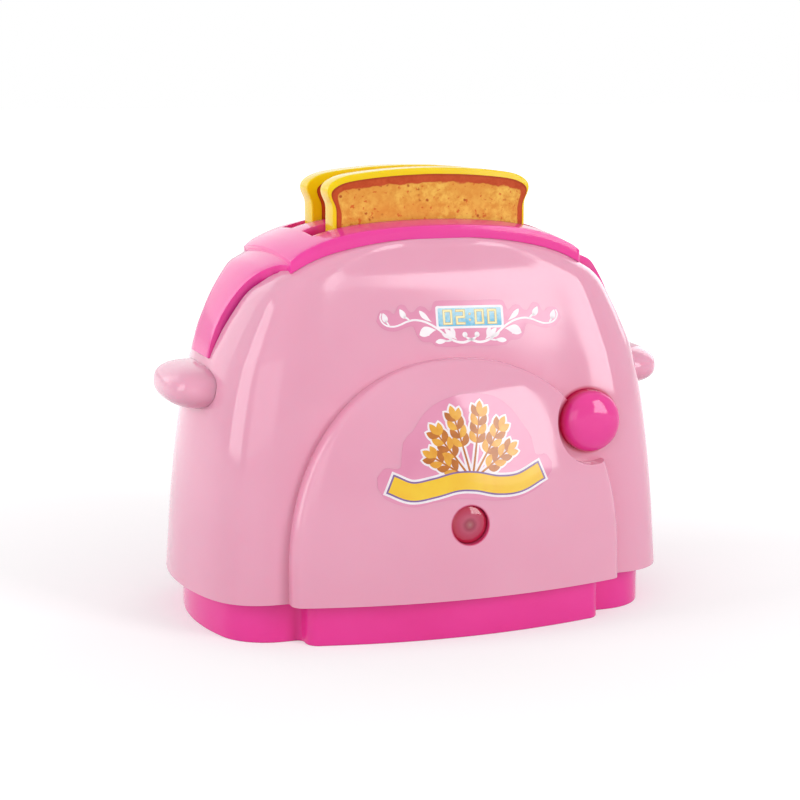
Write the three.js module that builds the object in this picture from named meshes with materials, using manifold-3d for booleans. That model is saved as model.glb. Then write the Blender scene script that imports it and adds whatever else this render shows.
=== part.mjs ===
// Toy toaster with two plastic slices, a push button and a small light.
// Millimetres. X runs along the toaster, -Y is the front, +Z is up, the base stands on z = 0.
import * as THREE from "three";
import { mergeVertices } from "three/addons/utils/BufferGeometryUtils.js";
import Module from "manifold-3d";

const wasm = await Module();
wasm.setup();

// Overall sizes
const TOTAL_LENGTH = 105;
const TOTAL_DEPTH = 70;
const TOTAL_HEIGHT = 90;
const CLEARANCE = 0.3;
const WALL = 1.8;
const THIN_WALL = 1.4;
// How far a cutter passes the face that it opens
const OVERRUN = 1;

// Body shell: sections as shares of its foot's half length and depth, its corner and its top
const RIM_HEIGHT = 8.5;
const SHELL_TOP = 76.6;
const HANDLE_BEYOND = 2;
const SHELL_HALF_LENGTH = TOTAL_LENGTH / 2 - HANDLE_BEYOND;
const ARCH_STAND = 8.4;
const SHELL_HALF_DEPTH = TOTAL_DEPTH / 2 - ARCH_STAND;
const SHELL_CORNER = 11;
const SIDE_RADIUS = 54.6;
const CORNER_MIN = 1;
const SHELL_STATION_SHARES = [
  { z: 0.0653, halfWidth: 1, halfDepth: 1, corner: 1 },
  { z: 0.111, halfWidth: 0.9941, halfDepth: 0.9962, corner: 1 },
  { z: 0.3525, halfWidth: 0.9584, halfDepth: 0.985, corner: 1 },
  { z: 0.5614, halfWidth: 0.9149, halfDepth: 0.9662, corner: 1 },
  { z: 0.6919, halfWidth: 0.8713, halfDepth: 0.9286, corner: 0.9455 },
  { z: 0.7572, halfWidth: 0.8337, halfDepth: 0.8872, corner: 0.8727 },
  { z: 0.8146, halfWidth: 0.7901, halfDepth: 0.8421, corner: 0.7818 },
  { z: 0.8721, halfWidth: 0.7386, halfDepth: 0.7932, corner: 0.6727 },
  { z: 0.9008, halfWidth: 0.695, halfDepth: 0.7632, corner: 0.5818 },
  { z: 0.9191, halfWidth: 0.6515, halfDepth: 0.7406, corner: 0.5455 },
  { z: 0.9504, halfWidth: 0.5663, halfDepth: 0.703, corner: 0.5455 },
  { z: 0.9713, halfWidth: 0.4713, halfDepth: 0.6767, corner: 0.5455 },
  { z: 0.9896, halfWidth: 0.3287, halfDepth: 0.6541, corner: 0.5455 },
  { z: 1, halfWidth: 0.1703, halfDepth: 0.6241, corner: 0.5455 },
];
const SHELL_STATIONS = sized(SHELL_STATION_SHARES, {
  z: SHELL_TOP,
  halfWidth: SHELL_HALF_LENGTH,
  halfDepth: SHELL_HALF_DEPTH,
  corner: SHELL_CORNER,
});
const SHOULDER_START_SHARE = 0.535;
const SHOULDER_END_SHARE = 0.914;

// Steps along each curve: fine for faces that show, coarse for hidden ones
const FINE = { lower: 3, shoulder: 8, crown: 4, side: 2, corner: 5, arch: 28, edge: 2 };
const COARSE = { lower: 2, shoulder: 4, crown: 2, side: 1, corner: 3, arch: 14, edge: 1 };

// Arch panel raised on the front and on the back
const ARCH_SIDE_MARGIN = 16.6;
const ARCH_HALF_WIDTH = SHELL_HALF_LENGTH - ARCH_SIDE_MARGIN;
const ARCH_CENTRE_HEIGHT = 14;
const ARCH_TOP = 53.8;
const ARCH_POWER = 2.2;
const ARCH_EDGE_RADIUS = 1.8;
const ARCH_BOW = 5.05;
const ARCH_SUNK = 8.6;
const ARCH_ROOT = SHELL_HALF_DEPTH - ARCH_SUNK;
const ARCH_FACE_SHARES = [0.6];
const BOW_STEPS = 8;
const ARCH_STATION_SHARES = [
  { z: 0.093, front: 1 },
  { z: 0.16, front: 1 },
  { z: 0.446, front: 0.977 },
  { z: 0.706, front: 0.9286 },
  { z: 0.8736, front: 0.857 },
  { z: 1.013, front: 0.743 },
];
const ARCH_STATIONS = sized(ARCH_STATION_SHARES, { z: ARCH_TOP, front: TOTAL_DEPTH / 2 });

// Top saddle: plan outline and height along the middle line
const SADDLE_ABOVE = 3.4;
const SADDLE_TOP = SHELL_TOP + SADDLE_ABOVE;
const SADDLE_LENGTH_SHARE = 0.598;
const SADDLE_DEPTH_SHARE = 0.6391;
const SADDLE_HALF_LENGTH = SHELL_HALF_LENGTH * SADDLE_LENGTH_SHARE;
const SADDLE_HALF_DEPTH = SHELL_HALF_DEPTH * SADDLE_DEPTH_SHARE;
const SADDLE_CORNER = 1.1;
const STRIP_PLAN_SHARES = [
  { x: 0.6277, halfDepth: 0.7647 },
  { x: 0.6871, halfDepth: 0.6765 },
  { x: 0.7366, halfDepth: 0.5529 },
  { x: 0.7881, halfDepth: 0.4647 },
  { x: 0.8317, halfDepth: 0.4059 },
  { x: 0.9109, halfDepth: 0.3824 },
];
const STRIP_PLAN = sized(STRIP_PLAN_SHARES, { x: SHELL_HALF_LENGTH, halfDepth: SADDLE_HALF_DEPTH });
const STRIP_ROOT = STRIP_PLAN[0];
const SADDLE_RISE_SHARES = [
  { x: 0, z: 1 },
  { x: 0.4636, z: 0.9919 },
  { x: 0.7351, z: 0.9731 },
  { x: 0.9371, z: 0.9425 },
  { x: 1.0033, z: 0.9225 },
];
const SADDLE_RISE = sized(SADDLE_RISE_SHARES, { x: SADDLE_HALF_LENGTH, z: SADDLE_TOP });
const STRIP_RISE_SHARES = [
  { x: 0.6059, z: 0.9113 },
  { x: 0.6277, z: 0.905 },
  { x: 0.6871, z: 0.8863 },
  { x: 0.7366, z: 0.855 },
  { x: 0.7881, z: 0.8088 },
  { x: 0.8337, z: 0.7525 },
  { x: 0.8594, z: 0.7075 },
  { x: 0.8792, z: 0.65 },
];
const STRIP_RISE = sized(STRIP_RISE_SHARES, { x: SHELL_HALF_LENGTH, z: SADDLE_TOP });
const SADDLE_CROWN = 1.25;
const STRIP_DROP = 23.2;
const STRIP_END = SHELL_TOP - STRIP_DROP;
const STRIP_SINK = 1.2;
const SADDLE_LEDGE_SHARE = 0.1353;
const SADDLE_LEDGE = SADDLE_HALF_DEPTH * SADDLE_LEDGE_SHARE;
const SKIRT_DROP = 9.6;
const SKIRT_BOTTOM = SHELL_TOP - SKIRT_DROP;
const RISE_STEPS = 8;
const STRIP_STEPS = 6;
const CROWN_STEPS = 4;

// Shelf in the shell where saddle, shell and well are screwed together
const SADDLE_POST_MARGIN = 1;
const SADDLE_POST_X = SADDLE_HALF_LENGTH - SADDLE_POST_MARGIN;
const SADDLE_POST_RADIUS = 3.2;
const SHELF_ABOVE_STRIP_END = 4;
const SHELF_BOTTOM = STRIP_END + SHELF_ABOVE_STRIP_END;
const SHELF_THICKNESS = 2;
const SHELF_DEPTH_SHARE = 0.6176;
const SHELF_HALF_DEPTH = SADDLE_HALF_DEPTH * SHELF_DEPTH_SHARE;
const SHELF_BEFORE_POST = 3;
const SHELF_START = SADDLE_POST_X - SHELF_BEFORE_POST;
const EAR_BEYOND = 3.8;
const EAR_END = SADDLE_POST_X + EAR_BEYOND;
const EAR_THICKNESS = 2;

// Slots, slices and the well under them
const SLOT_END_MARGIN = 6.3;
const SLOT_HALF_LENGTH = SADDLE_HALF_LENGTH - SLOT_END_MARGIN;
const SLOT_WIDTH_SHARE = 0.4;
const SLOT_WIDTH = SADDLE_HALF_DEPTH * SLOT_WIDTH_SHARE;
const SLOT_PLACE_SHARE = 0.4118;
const SLOT_Y = SADDLE_HALF_DEPTH * SLOT_PLACE_SHARE;
const EAR_GRIP = 0.9;
const EAR_HALF_DEPTH = SLOT_Y - SLOT_WIDTH / 2 + EAR_GRIP;
const WELL_PLAY = 0.1;
const WELL_BELOW_SHELF = 7.1;
const WELL_FLOOR_TOP = SHELF_BOTTOM - WELL_BELOW_SHELF;
const WELL_FLOOR = 1.6;
const WELL_RIB_MARGIN = 3.9;
const WELL_RIB_X = SLOT_HALF_LENGTH - WELL_RIB_MARGIN;
const WELL_RIB_HEIGHT = 9.7;
const WELL_RIB_TOP = WELL_FLOOR_TOP + WELL_RIB_HEIGHT;
const SLICE_END_PLAY = 3.7;
const SLICE_SIDE_PLAY = 0.8;
const SLICE_THICKNESS = SLOT_WIDTH - 2 * SLICE_SIDE_PLAY;
const SLICE_HALF_WIDTH = SLOT_HALF_LENGTH - SLICE_END_PLAY;
const SLICE_BULGE = 0.9;
const SLICE_CROWN_HALF_WIDTH = SLICE_HALF_WIDTH + SLICE_BULGE;
const SLICE_NECK_DROP = 7.8;
const SLICE_NECK = TOTAL_HEIGHT - SLICE_NECK_DROP;
const SLICE_WIDEST_DROP = 4.8;
const SLICE_WIDEST = TOTAL_HEIGHT - SLICE_WIDEST_DROP;
const SLICE_SHOULDER_IN = 2.2;
const SLICE_SHOULDER_DROP = 1.6;
const SLICE_SHOULDER = { x: SLICE_HALF_WIDTH - SLICE_SHOULDER_IN, z: TOTAL_HEIGHT - SLICE_SHOULDER_DROP };
const SLICE_CROWN_SHARE = 0.55;
const SLICE_FOOT_RADIUS = 2;
const SLICE_EDGE = 0.7;
const SLICE_SHIFT = 0.8;

// Screws
const SCREW_SHANK = 1.3;
const SCREW_PLAY = 0.3;
const SCREW_HEAD_RADIUS = 2.6;
const SCREW_HEAD_HEIGHT = 1.6;
const SCREW_CROSS_WIDTH = 0.7;
const SCREW_CROSS_LENGTH = 3;
const SCREW_CROSS_DEPTH = 0.8;
const SCREW_FLAT_SHARE = 0.7;
const SCREW_EDGE_SHARE = 0.5;
const SADDLE_SCREW_LENGTH = 10;

// Handles
const HANDLE_BELOW_STRIP = 5.8;
const HANDLE_HEIGHT = STRIP_END - HANDLE_BELOW_STRIP;
const HANDLE_THICKNESS = 8.6;
const HANDLE_HALF_DEPTH = 13;
const HANDLE_REACH = 8.5;
const HANDLE_CENTRE_X = TOTAL_LENGTH / 2 - HANDLE_REACH;
const HANDLE_POWER = 2.2;
const HANDLE_RINGS = 10;
const HANDLE_SIDES = 28;
const HANDLE_POLE = (75 * Math.PI) / 180;
const PEG_Y = 7;
const PEG_RADIUS = 2;
const PEG_HEAD_RADIUS = 3;
const PEG_HEAD_HEIGHT = 1.3;

// Base tray
const BASE_INSET = 3.4;
const BASE_CORNER = 1.3;
const BASE_WALL = 1.8;
const BASE_FLOOR = 2;
const FLANGE_THICKNESS = 1.8;
const FLANGE_WIDTH = 5;
const BASE_SCREW_END_MARGIN = 14.5;
const BASE_SCREW_SIDE_MARGIN = 12.6;
const BASE_SCREW_X = SHELL_HALF_LENGTH - BASE_SCREW_END_MARGIN;
const BASE_SCREW_Y = SHELL_HALF_DEPTH - BASE_SCREW_SIDE_MARGIN;
const BASE_SINK_RADIUS = SCREW_HEAD_RADIUS + 2 * CLEARANCE;
const BASE_TUBE_WALL = 1;
const BASE_TUBE_RADIUS = BASE_SINK_RADIUS + BASE_TUBE_WALL;
const BASE_SINK_DEPTH = 5.4;
const BASE_SCREW_LENGTH = 14;
const SHELL_POST_RADIUS = 3.2;
const SHELL_POST_TOP = 24;
const RIB = 1.6;

// Battery compartment: three cells in a row, a contact at each end, a door under them
const DOOR_BOTTOM = 0.3;
const DOOR_TOP = DOOR_BOTTOM + THIN_WALL;
const CELL_RADIUS = 5.8;
const CELL_LENGTH = 5.4;
const CELL_STEP = CELL_LENGTH + CLEARANCE;
const CELL_CAP_RADIUS = 4.6;
const CELL_RIM = 0.3;
const CELL_PLAY = 0.4;
const CELL_ABOVE_DOOR = 0.5;
const CELL_HEIGHT = DOOR_TOP + CELL_ABOVE_DOOR + CELL_RADIUS;
const CONTACT_DIMPLE = 1.5;
const CONTACT_DIMPLE_DEPTH = 0.3;
const CONTACT_PLAY = 0.5;
const CONTACT_X = CELL_STEP + CELL_LENGTH / 2 + CONTACT_DIMPLE_DEPTH + CONTACT_PLAY;
const CONTACT_THICKNESS = 0.5;
const CONTACT_ROOM = 0.9;
const CONTACT_HALF_WIDTH = 3;
const BAY_HALF_LENGTH = CONTACT_X + CONTACT_THICKNESS + CONTACT_ROOM;
const BAY_HALF_DEPTH = CELL_RADIUS + CELL_PLAY;
const BAY_ROOF = CELL_HEIGHT + CELL_RADIUS + CLEARANCE;
const BAY_WALL = 3.4;
const BAY_ROOF_THICKNESS = 1.5;
const CONTACT_TAIL = 1.4;
const CONTACT_TOP = BAY_ROOF + BAY_ROOF_THICKNESS + CONTACT_TAIL;
const CONTACT_ABOVE_DOOR = 1.3;
const CONTACT_FOOT = DOOR_TOP + CONTACT_ABOVE_DOOR;
const DOOR_LEFT = -BAY_HALF_LENGTH - WALL;
const DOOR_HALF_DEPTH = BAY_HALF_DEPTH + WALL;
const DOOR_SCREW_BEYOND = 6.3;
const DOOR_SCREW_X = BAY_HALF_LENGTH + DOOR_SCREW_BEYOND;
const DOOR_POST_RADIUS = 5.6;
const DOOR_POST_TOP = 12;
const DOOR_SCREW_LENGTH = 7;
const DOOR_CUP_RADIUS = 4;
const DOOR_CUP_DEPTH = 1.7;
const DOOR_CUP_TOP = DOOR_TOP + DOOR_CUP_DEPTH;
const DOOR_RIGHT_MARGIN = 4.7;
const DOOR_RIGHT = DOOR_SCREW_X + DOOR_RIGHT_MARGIN;
const DOOR_DISH_RADIUS = SCREW_HEAD_RADIUS + CLEARANCE;
const DOOR_DISH_WALL = 1.2;
const DOOR_DISH_TOP = DOOR_CUP_TOP - DOOR_DISH_WALL;

// Push button, switch and board, set back from the arch panel's foremost line
const FRONT_Y = -TOTAL_DEPTH / 2;
const BUTTON_SIDE_MARGIN = 5.9;
const BUTTON_BELOW_TOP = 13.6;
const BUTTON_X = ARCH_HALF_WIDTH - BUTTON_SIDE_MARGIN;
const BUTTON_Z = ARCH_TOP - BUTTON_BELOW_TOP;
const BUTTON_RADIUS = 6.1;
const BUTTON_SET_BACK = 7.8;
const BUTTON_DOME = 3;
const BUTTON_EDGE_Y = FRONT_Y + BUTTON_SET_BACK;
const BUTTON_TIP_Y = BUTTON_EDGE_Y - BUTTON_DOME;
const BUTTON_FLANGE_WIDTH = 1.3;
const BUTTON_FLANGE_RADIUS = BUTTON_RADIUS + BUTTON_FLANGE_WIDTH;
const BUTTON_FLANGE_THICKNESS = 1.3;
const BUTTON_STEM_RADIUS = 1.9;
const SEAT_MARGIN = 2.2;
const SEAT_RADIUS = BUTTON_RADIUS + SEAT_MARGIN;
const SEAT_DEPTH = 0.9;
const SEAT_FLOOR_Y = BUTTON_EDGE_Y + SEAT_DEPTH;
const SEAT_THICKNESS = 3.1;
const SEAT_BACK_Y = SEAT_FLOOR_Y + SEAT_THICKNESS;
const SWITCH_HALF = 4.5;
const SWITCH_DEPTH = 4;
const PLUNGER_RADIUS = 1.7;
const PLUNGER_OUT = 1.3;
const PLUNGER_IN = 1;
const PLUNGER_BORE = 2.9;
const SPRING_RADIUS = 3.4;
const SPRING_WIRE = 0.35;
const SPRING_TURNS = 4;
const BOARD_BEHIND_SEAT = 12.2;
const BOARD_FRONT_Y = SEAT_BACK_Y + BOARD_BEHIND_SEAT;
const BOARD_THICKNESS = 1.6;
const BOARD_TO_LEFT = 14;
const BOARD_TO_RIGHT = 12;
const BOARD_BELOW = 9.2;
const BOARD_ABOVE = 6.8;
const BOARD = {
  left: BUTTON_X - BOARD_TO_LEFT,
  right: BUTTON_X + BOARD_TO_RIGHT,
  bottom: BUTTON_Z - BOARD_BELOW,
  top: BUTTON_Z + BOARD_ABOVE,
};
const BOARD_HOLE_MARGIN = 3;
const BOARD_HOLES = [
  { name: "board_screw_left", x: BOARD.left + BOARD_HOLE_MARGIN, z: BOARD.top - BOARD_HOLE_MARGIN },
  { name: "board_screw_right", x: BOARD.right - BOARD_HOLE_MARGIN, z: BOARD.bottom + BOARD_HOLE_MARGIN },
];
const BOARD_POST_RADIUS = 2.5;
const BOARD_SCREW_LENGTH = 7;

// Light window
const LIGHT_Z = 22.9;
const LENS_RADIUS = 3.7;
const LIGHT_HOLE_RADIUS = LENS_RADIUS + CLEARANCE;
const LENS_SET_BACK = 2.3;
const LENS_DOME = 0.8;
const LENS_EDGE_Y = FRONT_Y + LENS_SET_BACK;
const LENS_TIP_Y = LENS_EDGE_Y - LENS_DOME;
const LENS_SHOULDER_SHARES = { radius: 0.6, rise: 0.4 };
const LENS_RIM = 1.3;
const LENS_FLANGE_RADIUS = LENS_RADIUS + LENS_RIM;
const LENS_FLANGE = 0.8;
const LENS_SIDE = 0.7;
const LENS_SEAT_Y = LENS_EDGE_Y + LENS_SIDE;
const COLLAR_WALL = 2;
const COLLAR_OUTER = LENS_FLANGE_RADIUS + COLLAR_WALL;
const COLLAR_DEPTH = 6.5;
const COLLAR_BACK_Y = LENS_SEAT_Y + COLLAR_DEPTH;
const BULB_RADIUS = 2.5;
const BULB_RIM_RADIUS = 2.9;
const BULB_LENGTH = 7.2;
const BULB_RIM = 1;
const PIN_SPACING = 2.54;
const PIN_WIDTH = 0.5;
const PIN_LENGTH = 2.7;
const HOLDER_RIM = 1.2;
const WIRE_RADIUS = 0.6;
const WIRE_STEPS = 12;

// Finishes
const FINISH = {
  pink: { color: 0xebaac3, roughness: 0.32, metalness: 0 },
  magenta: { color: 0xe84592, roughness: 0.28, metalness: 0 },
  crimson: { color: 0xc0203c, roughness: 0.45, metalness: 0 },
  yellow: { color: 0xf8dc20, roughness: 0.34, metalness: 0 },
  lens: { color: 0xc02050, roughness: 0.12, metalness: 0 },
  bulb: { color: 0xe8e4e0, roughness: 0.15, metalness: 0 },
  steel: { color: 0xb8babd, roughness: 0.35, metalness: 1 },
  board: { color: 0x3c7a4a, roughness: 0.55, metalness: 0 },
  black: { color: 0x242426, roughness: 0.6, metalness: 0 },
  white: { color: 0xe8e8e6, roughness: 0.5, metalness: 0 },
  red: { color: 0xc42a28, roughness: 0.6, metalness: 0 },
};

// A closed geometry as a solid that can be joined and cut
function solid(geometry) {
  const plain = geometry.clone();
  plain.deleteAttribute("normal");
  plain.deleteAttribute("uv");
  const merged = mergeVertices(plain, 1e-4);
  const mesh = new wasm.Mesh({
    numProp: 3,
    vertProperties: new Float32Array(merged.attributes.position.array),
    triVerts: new Uint32Array(merged.index.array),
  });
  return new wasm.Manifold(mesh);
}

// A solid back as a geometry for its mesh
function geometryOf(body) {
  const mesh = body.getMesh();
  const geometry = new THREE.BufferGeometry();
  geometry.setAttribute("position", new THREE.BufferAttribute(new Float32Array(mesh.vertProperties), 3));
  geometry.setIndex(new THREE.BufferAttribute(new Uint32Array(mesh.triVerts), 1));
  const flat = geometry.toNonIndexed();
  flat.computeVertexNormals();
  return flat;
}

function joined(bodies) {
  return bodies.reduce((sum, body) => sum.add(body));
}

function without(body, cutters) {
  return cutters.reduce((rest, cutter) => rest.subtract(cutter), body);
}

// Rows of shares as lengths, each column by its own size
function sized(rows, sizes) {
  return rows.map((row) => {
    const lengths = {};
    for (const key of Object.keys(row)) lengths[key] = row[key] * sizes[key];
    return lengths;
  });
}

// A value read from a few stations by a smooth curve through them
function smooth(stations, at, from, want) {
  const last = stations.length - 1;
  const t = Math.min(Math.max(at, stations[0][from]), stations[last][from]);
  let i = 0;
  while (i < last - 1 && t > stations[i + 1][from]) i += 1;
  const slope = (j) => {
    const a = stations[Math.max(j - 1, 0)];
    const b = stations[Math.min(j + 1, last)];
    return (b[want] - a[want]) / (b[from] - a[from]);
  };
  const span = stations[i + 1][from] - stations[i][from];
  const u = (t - stations[i][from]) / span;
  const rise = (1 - u) * (1 - u);
  return (
    (1 + 2 * u) * rise * stations[i][want] +
    u * rise * span * slope(i) +
    u * u * (3 - 2 * u) * stations[i + 1][want] +
    u * u * (u - 1) * span * slope(i + 1)
  );
}

function evenly(from, to, steps) {
  return Array.from({ length: steps + 1 }, (_, i) => from + ((to - from) * i) / steps);
}

function block(x0, x1, y0, y1, z0, z1) {
  const geometry = new THREE.BoxGeometry(x1 - x0, y1 - y0, z1 - z0);
  geometry.translate((x0 + x1) / 2, (y0 + y1) / 2, (z0 + z1) / 2);
  return solid(geometry);
}

// A round bar between two ends of one axis
function bar(axis, radius, from, to, centre, sides = 24) {
  const geometry = new THREE.CylinderGeometry(radius, radius, to - from, sides);
  if (axis === "x") geometry.rotateZ(-Math.PI / 2);
  if (axis === "z") geometry.rotateX(Math.PI / 2);
  const middle = (from + to) / 2;
  if (axis === "x") geometry.translate(middle, centre[0], centre[1]);
  if (axis === "y") geometry.translate(centre[0], middle, centre[1]);
  if (axis === "z") geometry.translate(centre[0], centre[1], middle);
  return solid(geometry);
}

// A plan shape raised between two heights
function raised(shape, z0, z1) {
  const depth = z1 - z0;
  const geometry = new THREE.ExtrudeGeometry(shape, { depth, bevelEnabled: false, curveSegments: 6 });
  geometry.translate(0, 0, z0);
  return solid(geometry);
}

// A profile of radius and height turned round the axis
function turned(points, sides) {
  const profile = points.map(([radius, height]) => new THREE.Vector2(radius, height));
  return new THREE.LatheGeometry(profile, sides);
}

// Triangles between rings of equally many points, with flat fans on both ends
function lofted(rings) {
  const count = rings[0].length;
  const position = rings.flat().flatMap((p) => [p.x, p.y, p.z]);
  const index = [];
  for (let r = 0; r + 1 < rings.length; r += 1) {
    for (let i = 0; i < count; i += 1) {
      const a = r * count + i;
      const b = r * count + ((i + 1) % count);
      index.push(a, b, b + count, a, b + count, a + count);
    }
  }
  const top = (rings.length - 1) * count;
  for (let i = 1; i + 1 < count; i += 1) {
    index.push(0, i + 1, i);
    index.push(top, top + i, top + i + 1);
  }
  const geometry = new THREE.BufferGeometry();
  geometry.setAttribute("position", new THREE.Float32BufferAttribute(position, 3));
  geometry.setIndex(index);
  return solid(geometry);
}

// One quarter of a shell ring, from the side's middle round the corner to the front's middle
function quarterRing(z, inset, steps) {
  const read = (want) => smooth(SHELL_STATIONS, z + inset, "z", want);
  const width = read("halfWidth") - inset;
  const depth = read("halfDepth") - inset;
  const corner = Math.max(read("corner") - inset, CORNER_MIN);
  const side = SIDE_RADIUS - inset;
  const turn = Math.asin((depth - corner) / (side - corner));
  const sideX = width - side;
  const cornerX = sideX + (side - corner) * Math.cos(turn);
  const points = [];
  for (const angle of evenly(0, turn, steps.side)) {
    points.push([sideX + side * Math.cos(angle), side * Math.sin(angle)]);
  }
  for (const angle of evenly(turn, Math.PI / 2, steps.corner).slice(1)) {
    points.push([cornerX + corner * Math.cos(angle), depth - corner + corner * Math.sin(angle)]);
  }
  return points;
}

// The whole ring: its shape is read at one height and drawn at another
function shellRing(shapeZ, inset, z, steps) {
  const quarter = quarterRing(shapeZ, inset, steps);
  const back = [...quarter].reverse();
  const ring = [
    ...quarter,
    ...back.map(([x, y]) => [-x, y]).slice(0, -1),
    ...quarter.map(([x, y]) => [-x, -y]),
    ...back.map(([x, y]) => [x, -y]).slice(0, -1),
  ];
  return ring.map(([x, y]) => new THREE.Vector3(x, y, z));
}

// The body's outside without the arch panels, drawn in by an inset
function loaf(inset, foot, steps) {
  const start = SHELL_TOP * SHOULDER_START_SHARE;
  const end = SHELL_TOP * SHOULDER_END_SHARE;
  const heights = [
    ...evenly(foot, start, steps.lower),
    ...evenly(start, end, steps.shoulder).slice(1),
    ...evenly(end, SHELL_TOP - inset, steps.crown).slice(1),
  ];
  return lofted(heights.map((z) => shellRing(z, inset, z, steps)));
}

function archFront(x, z, inset) {
  const bow = (ARCH_BOW * x * x) / (ARCH_HALF_WIDTH * ARCH_HALF_WIDTH);
  return -(smooth(ARCH_STATIONS, z, "z", "front") - bow - inset);
}

// The arch outline as points from the left foot over the top to the right foot
function archLine(inset, foot, share, steps) {
  const halfWidth = ARCH_HALF_WIDTH - inset;
  const height = ARCH_TOP - inset - ARCH_CENTRE_HEIGHT;
  const curve = evenly(Math.PI, 0, steps.arch).map((angle) => {
    const x = Math.sign(Math.cos(angle)) * halfWidth * Math.abs(Math.cos(angle)) ** (2 / ARCH_POWER);
    return [x, ARCH_CENTRE_HEIGHT + height * Math.abs(Math.sin(angle)) ** (2 / ARCH_POWER)];
  });
  const line = [[-halfWidth, foot], ...curve, [halfWidth, foot]];
  return line.map(([x, z]) => [x * share, foot + (z - foot) * share]);
}

// The front arch panel as a solid that reaches back into the body
function arch(inset, foot, steps) {
  const rows = [archLine(inset, foot, 1, steps).map(([x, z]) => new THREE.Vector3(x, -ARCH_ROOT, z))];
  for (const angle of evenly(0, Math.PI / 2, steps.edge)) {
    const step = ARCH_EDGE_RADIUS * (1 - Math.cos(angle));
    const drop = ARCH_EDGE_RADIUS * (1 - Math.sin(angle));
    const line = archLine(inset + step, foot, 1, steps);
    rows.push(line.map(([x, z]) => new THREE.Vector3(x, archFront(x, z, inset) + drop, z)));
  }
  for (const share of ARCH_FACE_SHARES) {
    const line = archLine(inset + ARCH_EDGE_RADIUS, foot, share, steps);
    rows.push(line.map(([x, z]) => new THREE.Vector3(x, archFront(x, z, inset), z)));
  }
  const count = rows[0].length;
  const position = rows.flat().flatMap((p) => [p.x, p.y, p.z]);
  const index = [];
  for (let r = 0; r + 1 < rows.length; r += 1) {
    for (let i = 0; i + 1 < count; i += 1) {
      const a = r * count + i;
      index.push(a, a + count, a + 1, a + 1, a + count, a + count + 1);
    }
  }
  const tip = rows.length * count;
  position.push(0, archFront(0, foot, inset), foot);
  const face = (rows.length - 1) * count;
  for (let i = 0; i + 1 < count; i += 1) index.push(face + i, tip, face + i + 1);
  for (let i = 1; i + 1 < count; i += 1) index.push(0, i, i + 1);
  const left = rows.map((_, r) => r * count);
  const right = rows.map((_, r) => r * count + count - 1).reverse();
  const edge = [...left, tip, ...right];
  for (let i = 1; i + 1 < edge.length; i += 1) index.push(edge[0], edge[i + 1], edge[i]);
  const geometry = new THREE.BufferGeometry();
  geometry.setAttribute("position", new THREE.Float32BufferAttribute(position, 3));
  geometry.setIndex(index);
  return solid(geometry);
}

function bodyVolume(inset, foot, steps) {
  const front = arch(inset, foot, steps);
  return joined([loaf(inset, foot, steps), front, front.mirror([0, 1, 0])]);
}

// Plan outline of the saddle, grown by a clearance
function saddlePlan(grow) {
  const length = SADDLE_HALF_LENGTH + grow;
  const depth = SADDLE_HALF_DEPTH + grow;
  const corner = evenly(Math.PI / 2, 0, 2).map((angle) => [
    length - SADDLE_CORNER + SADDLE_CORNER * Math.cos(angle),
    depth - SADDLE_CORNER + SADDLE_CORNER * Math.sin(angle),
  ]);
  const strip = STRIP_PLAN.map(({ x, halfDepth }) => [x + grow, halfDepth + grow]);
  const quarter = [...corner, ...strip];
  const back = [...quarter].reverse();
  return new THREE.Shape(
    [
      ...quarter.map(([x, y]) => [-x, y]).reverse(),
      ...quarter,
      ...back.map(([x, y]) => [x, -y]),
      ...back.map(([x, y]) => [-x, -y]).reverse(),
    ].map(([x, y]) => new THREE.Vector2(x, y)),
  );
}

// The space under the saddle's top surface
function underSaddleTop() {
  const half = [
    ...evenly(0, SADDLE_RISE[SADDLE_RISE.length - 1].x, RISE_STEPS).map((x) => [
      x,
      smooth(SADDLE_RISE, x, "x", "z"),
    ]),
    ...evenly(STRIP_RISE[0].x, STRIP_RISE[STRIP_RISE.length - 1].x, STRIP_STEPS).map((x) => [
      x,
      smooth(STRIP_RISE, x, "x", "z"),
    ]),
  ];
  const profile = [...half.slice(1).map(([x, z]) => [-x, z]).reverse(), ...half];
  const foot = STRIP_RISE[STRIP_RISE.length - 1];
  const ringAt = (y) => {
    const drop = (SADDLE_CROWN * y * y) / (SADDLE_HALF_DEPTH * SADDLE_HALF_DEPTH);
    const top = profile.map(([x, z]) => new THREE.Vector3(x, y, z - drop));
    const under = foot.z - SADDLE_HALF_DEPTH;
    return [new THREE.Vector3(-foot.x, y, under), ...top, new THREE.Vector3(foot.x, y, under)];
  };
  const edge = SADDLE_HALF_DEPTH + OVERRUN;
  return lofted(evenly(-edge, edge, CROWN_STEPS).map(ringAt));
}

const wholeLoaf = loaf(0, RIM_HEIGHT, FINE);
const looseLoaf = loaf(-CLEARANCE, RIM_HEIGHT - WALL, FINE);
const bodyOutside = bodyVolume(0, RIM_HEIGHT, FINE);
const bodyMiddle = bodyVolume(WALL / 2, RIM_HEIGHT, COARSE);
const bodyInside = bodyVolume(WALL, RIM_HEIGHT - WALL, COARSE);
const REACH = TOTAL_LENGTH;

function slotCutter(side) {
  const y = side * SLOT_Y;
  const half = SLOT_WIDTH / 2;
  return block(-SLOT_HALF_LENGTH, SLOT_HALF_LENGTH, y - half, y + half, STRIP_END, REACH);
}

// Shelves across the shell under the saddle's strips
function shelves() {
  const halves = [-1, 1].map((side) => {
    const ends = [side * SHELF_START, (side * TOTAL_LENGTH) / 2].sort((a, b) => a - b);
    const top = SHELF_BOTTOM + SHELF_THICKNESS;
    return block(ends[0], ends[1], -SHELF_HALF_DEPTH, SHELF_HALF_DEPTH, SHELF_BOTTOM, top);
  });
  return joined(halves);
}

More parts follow.
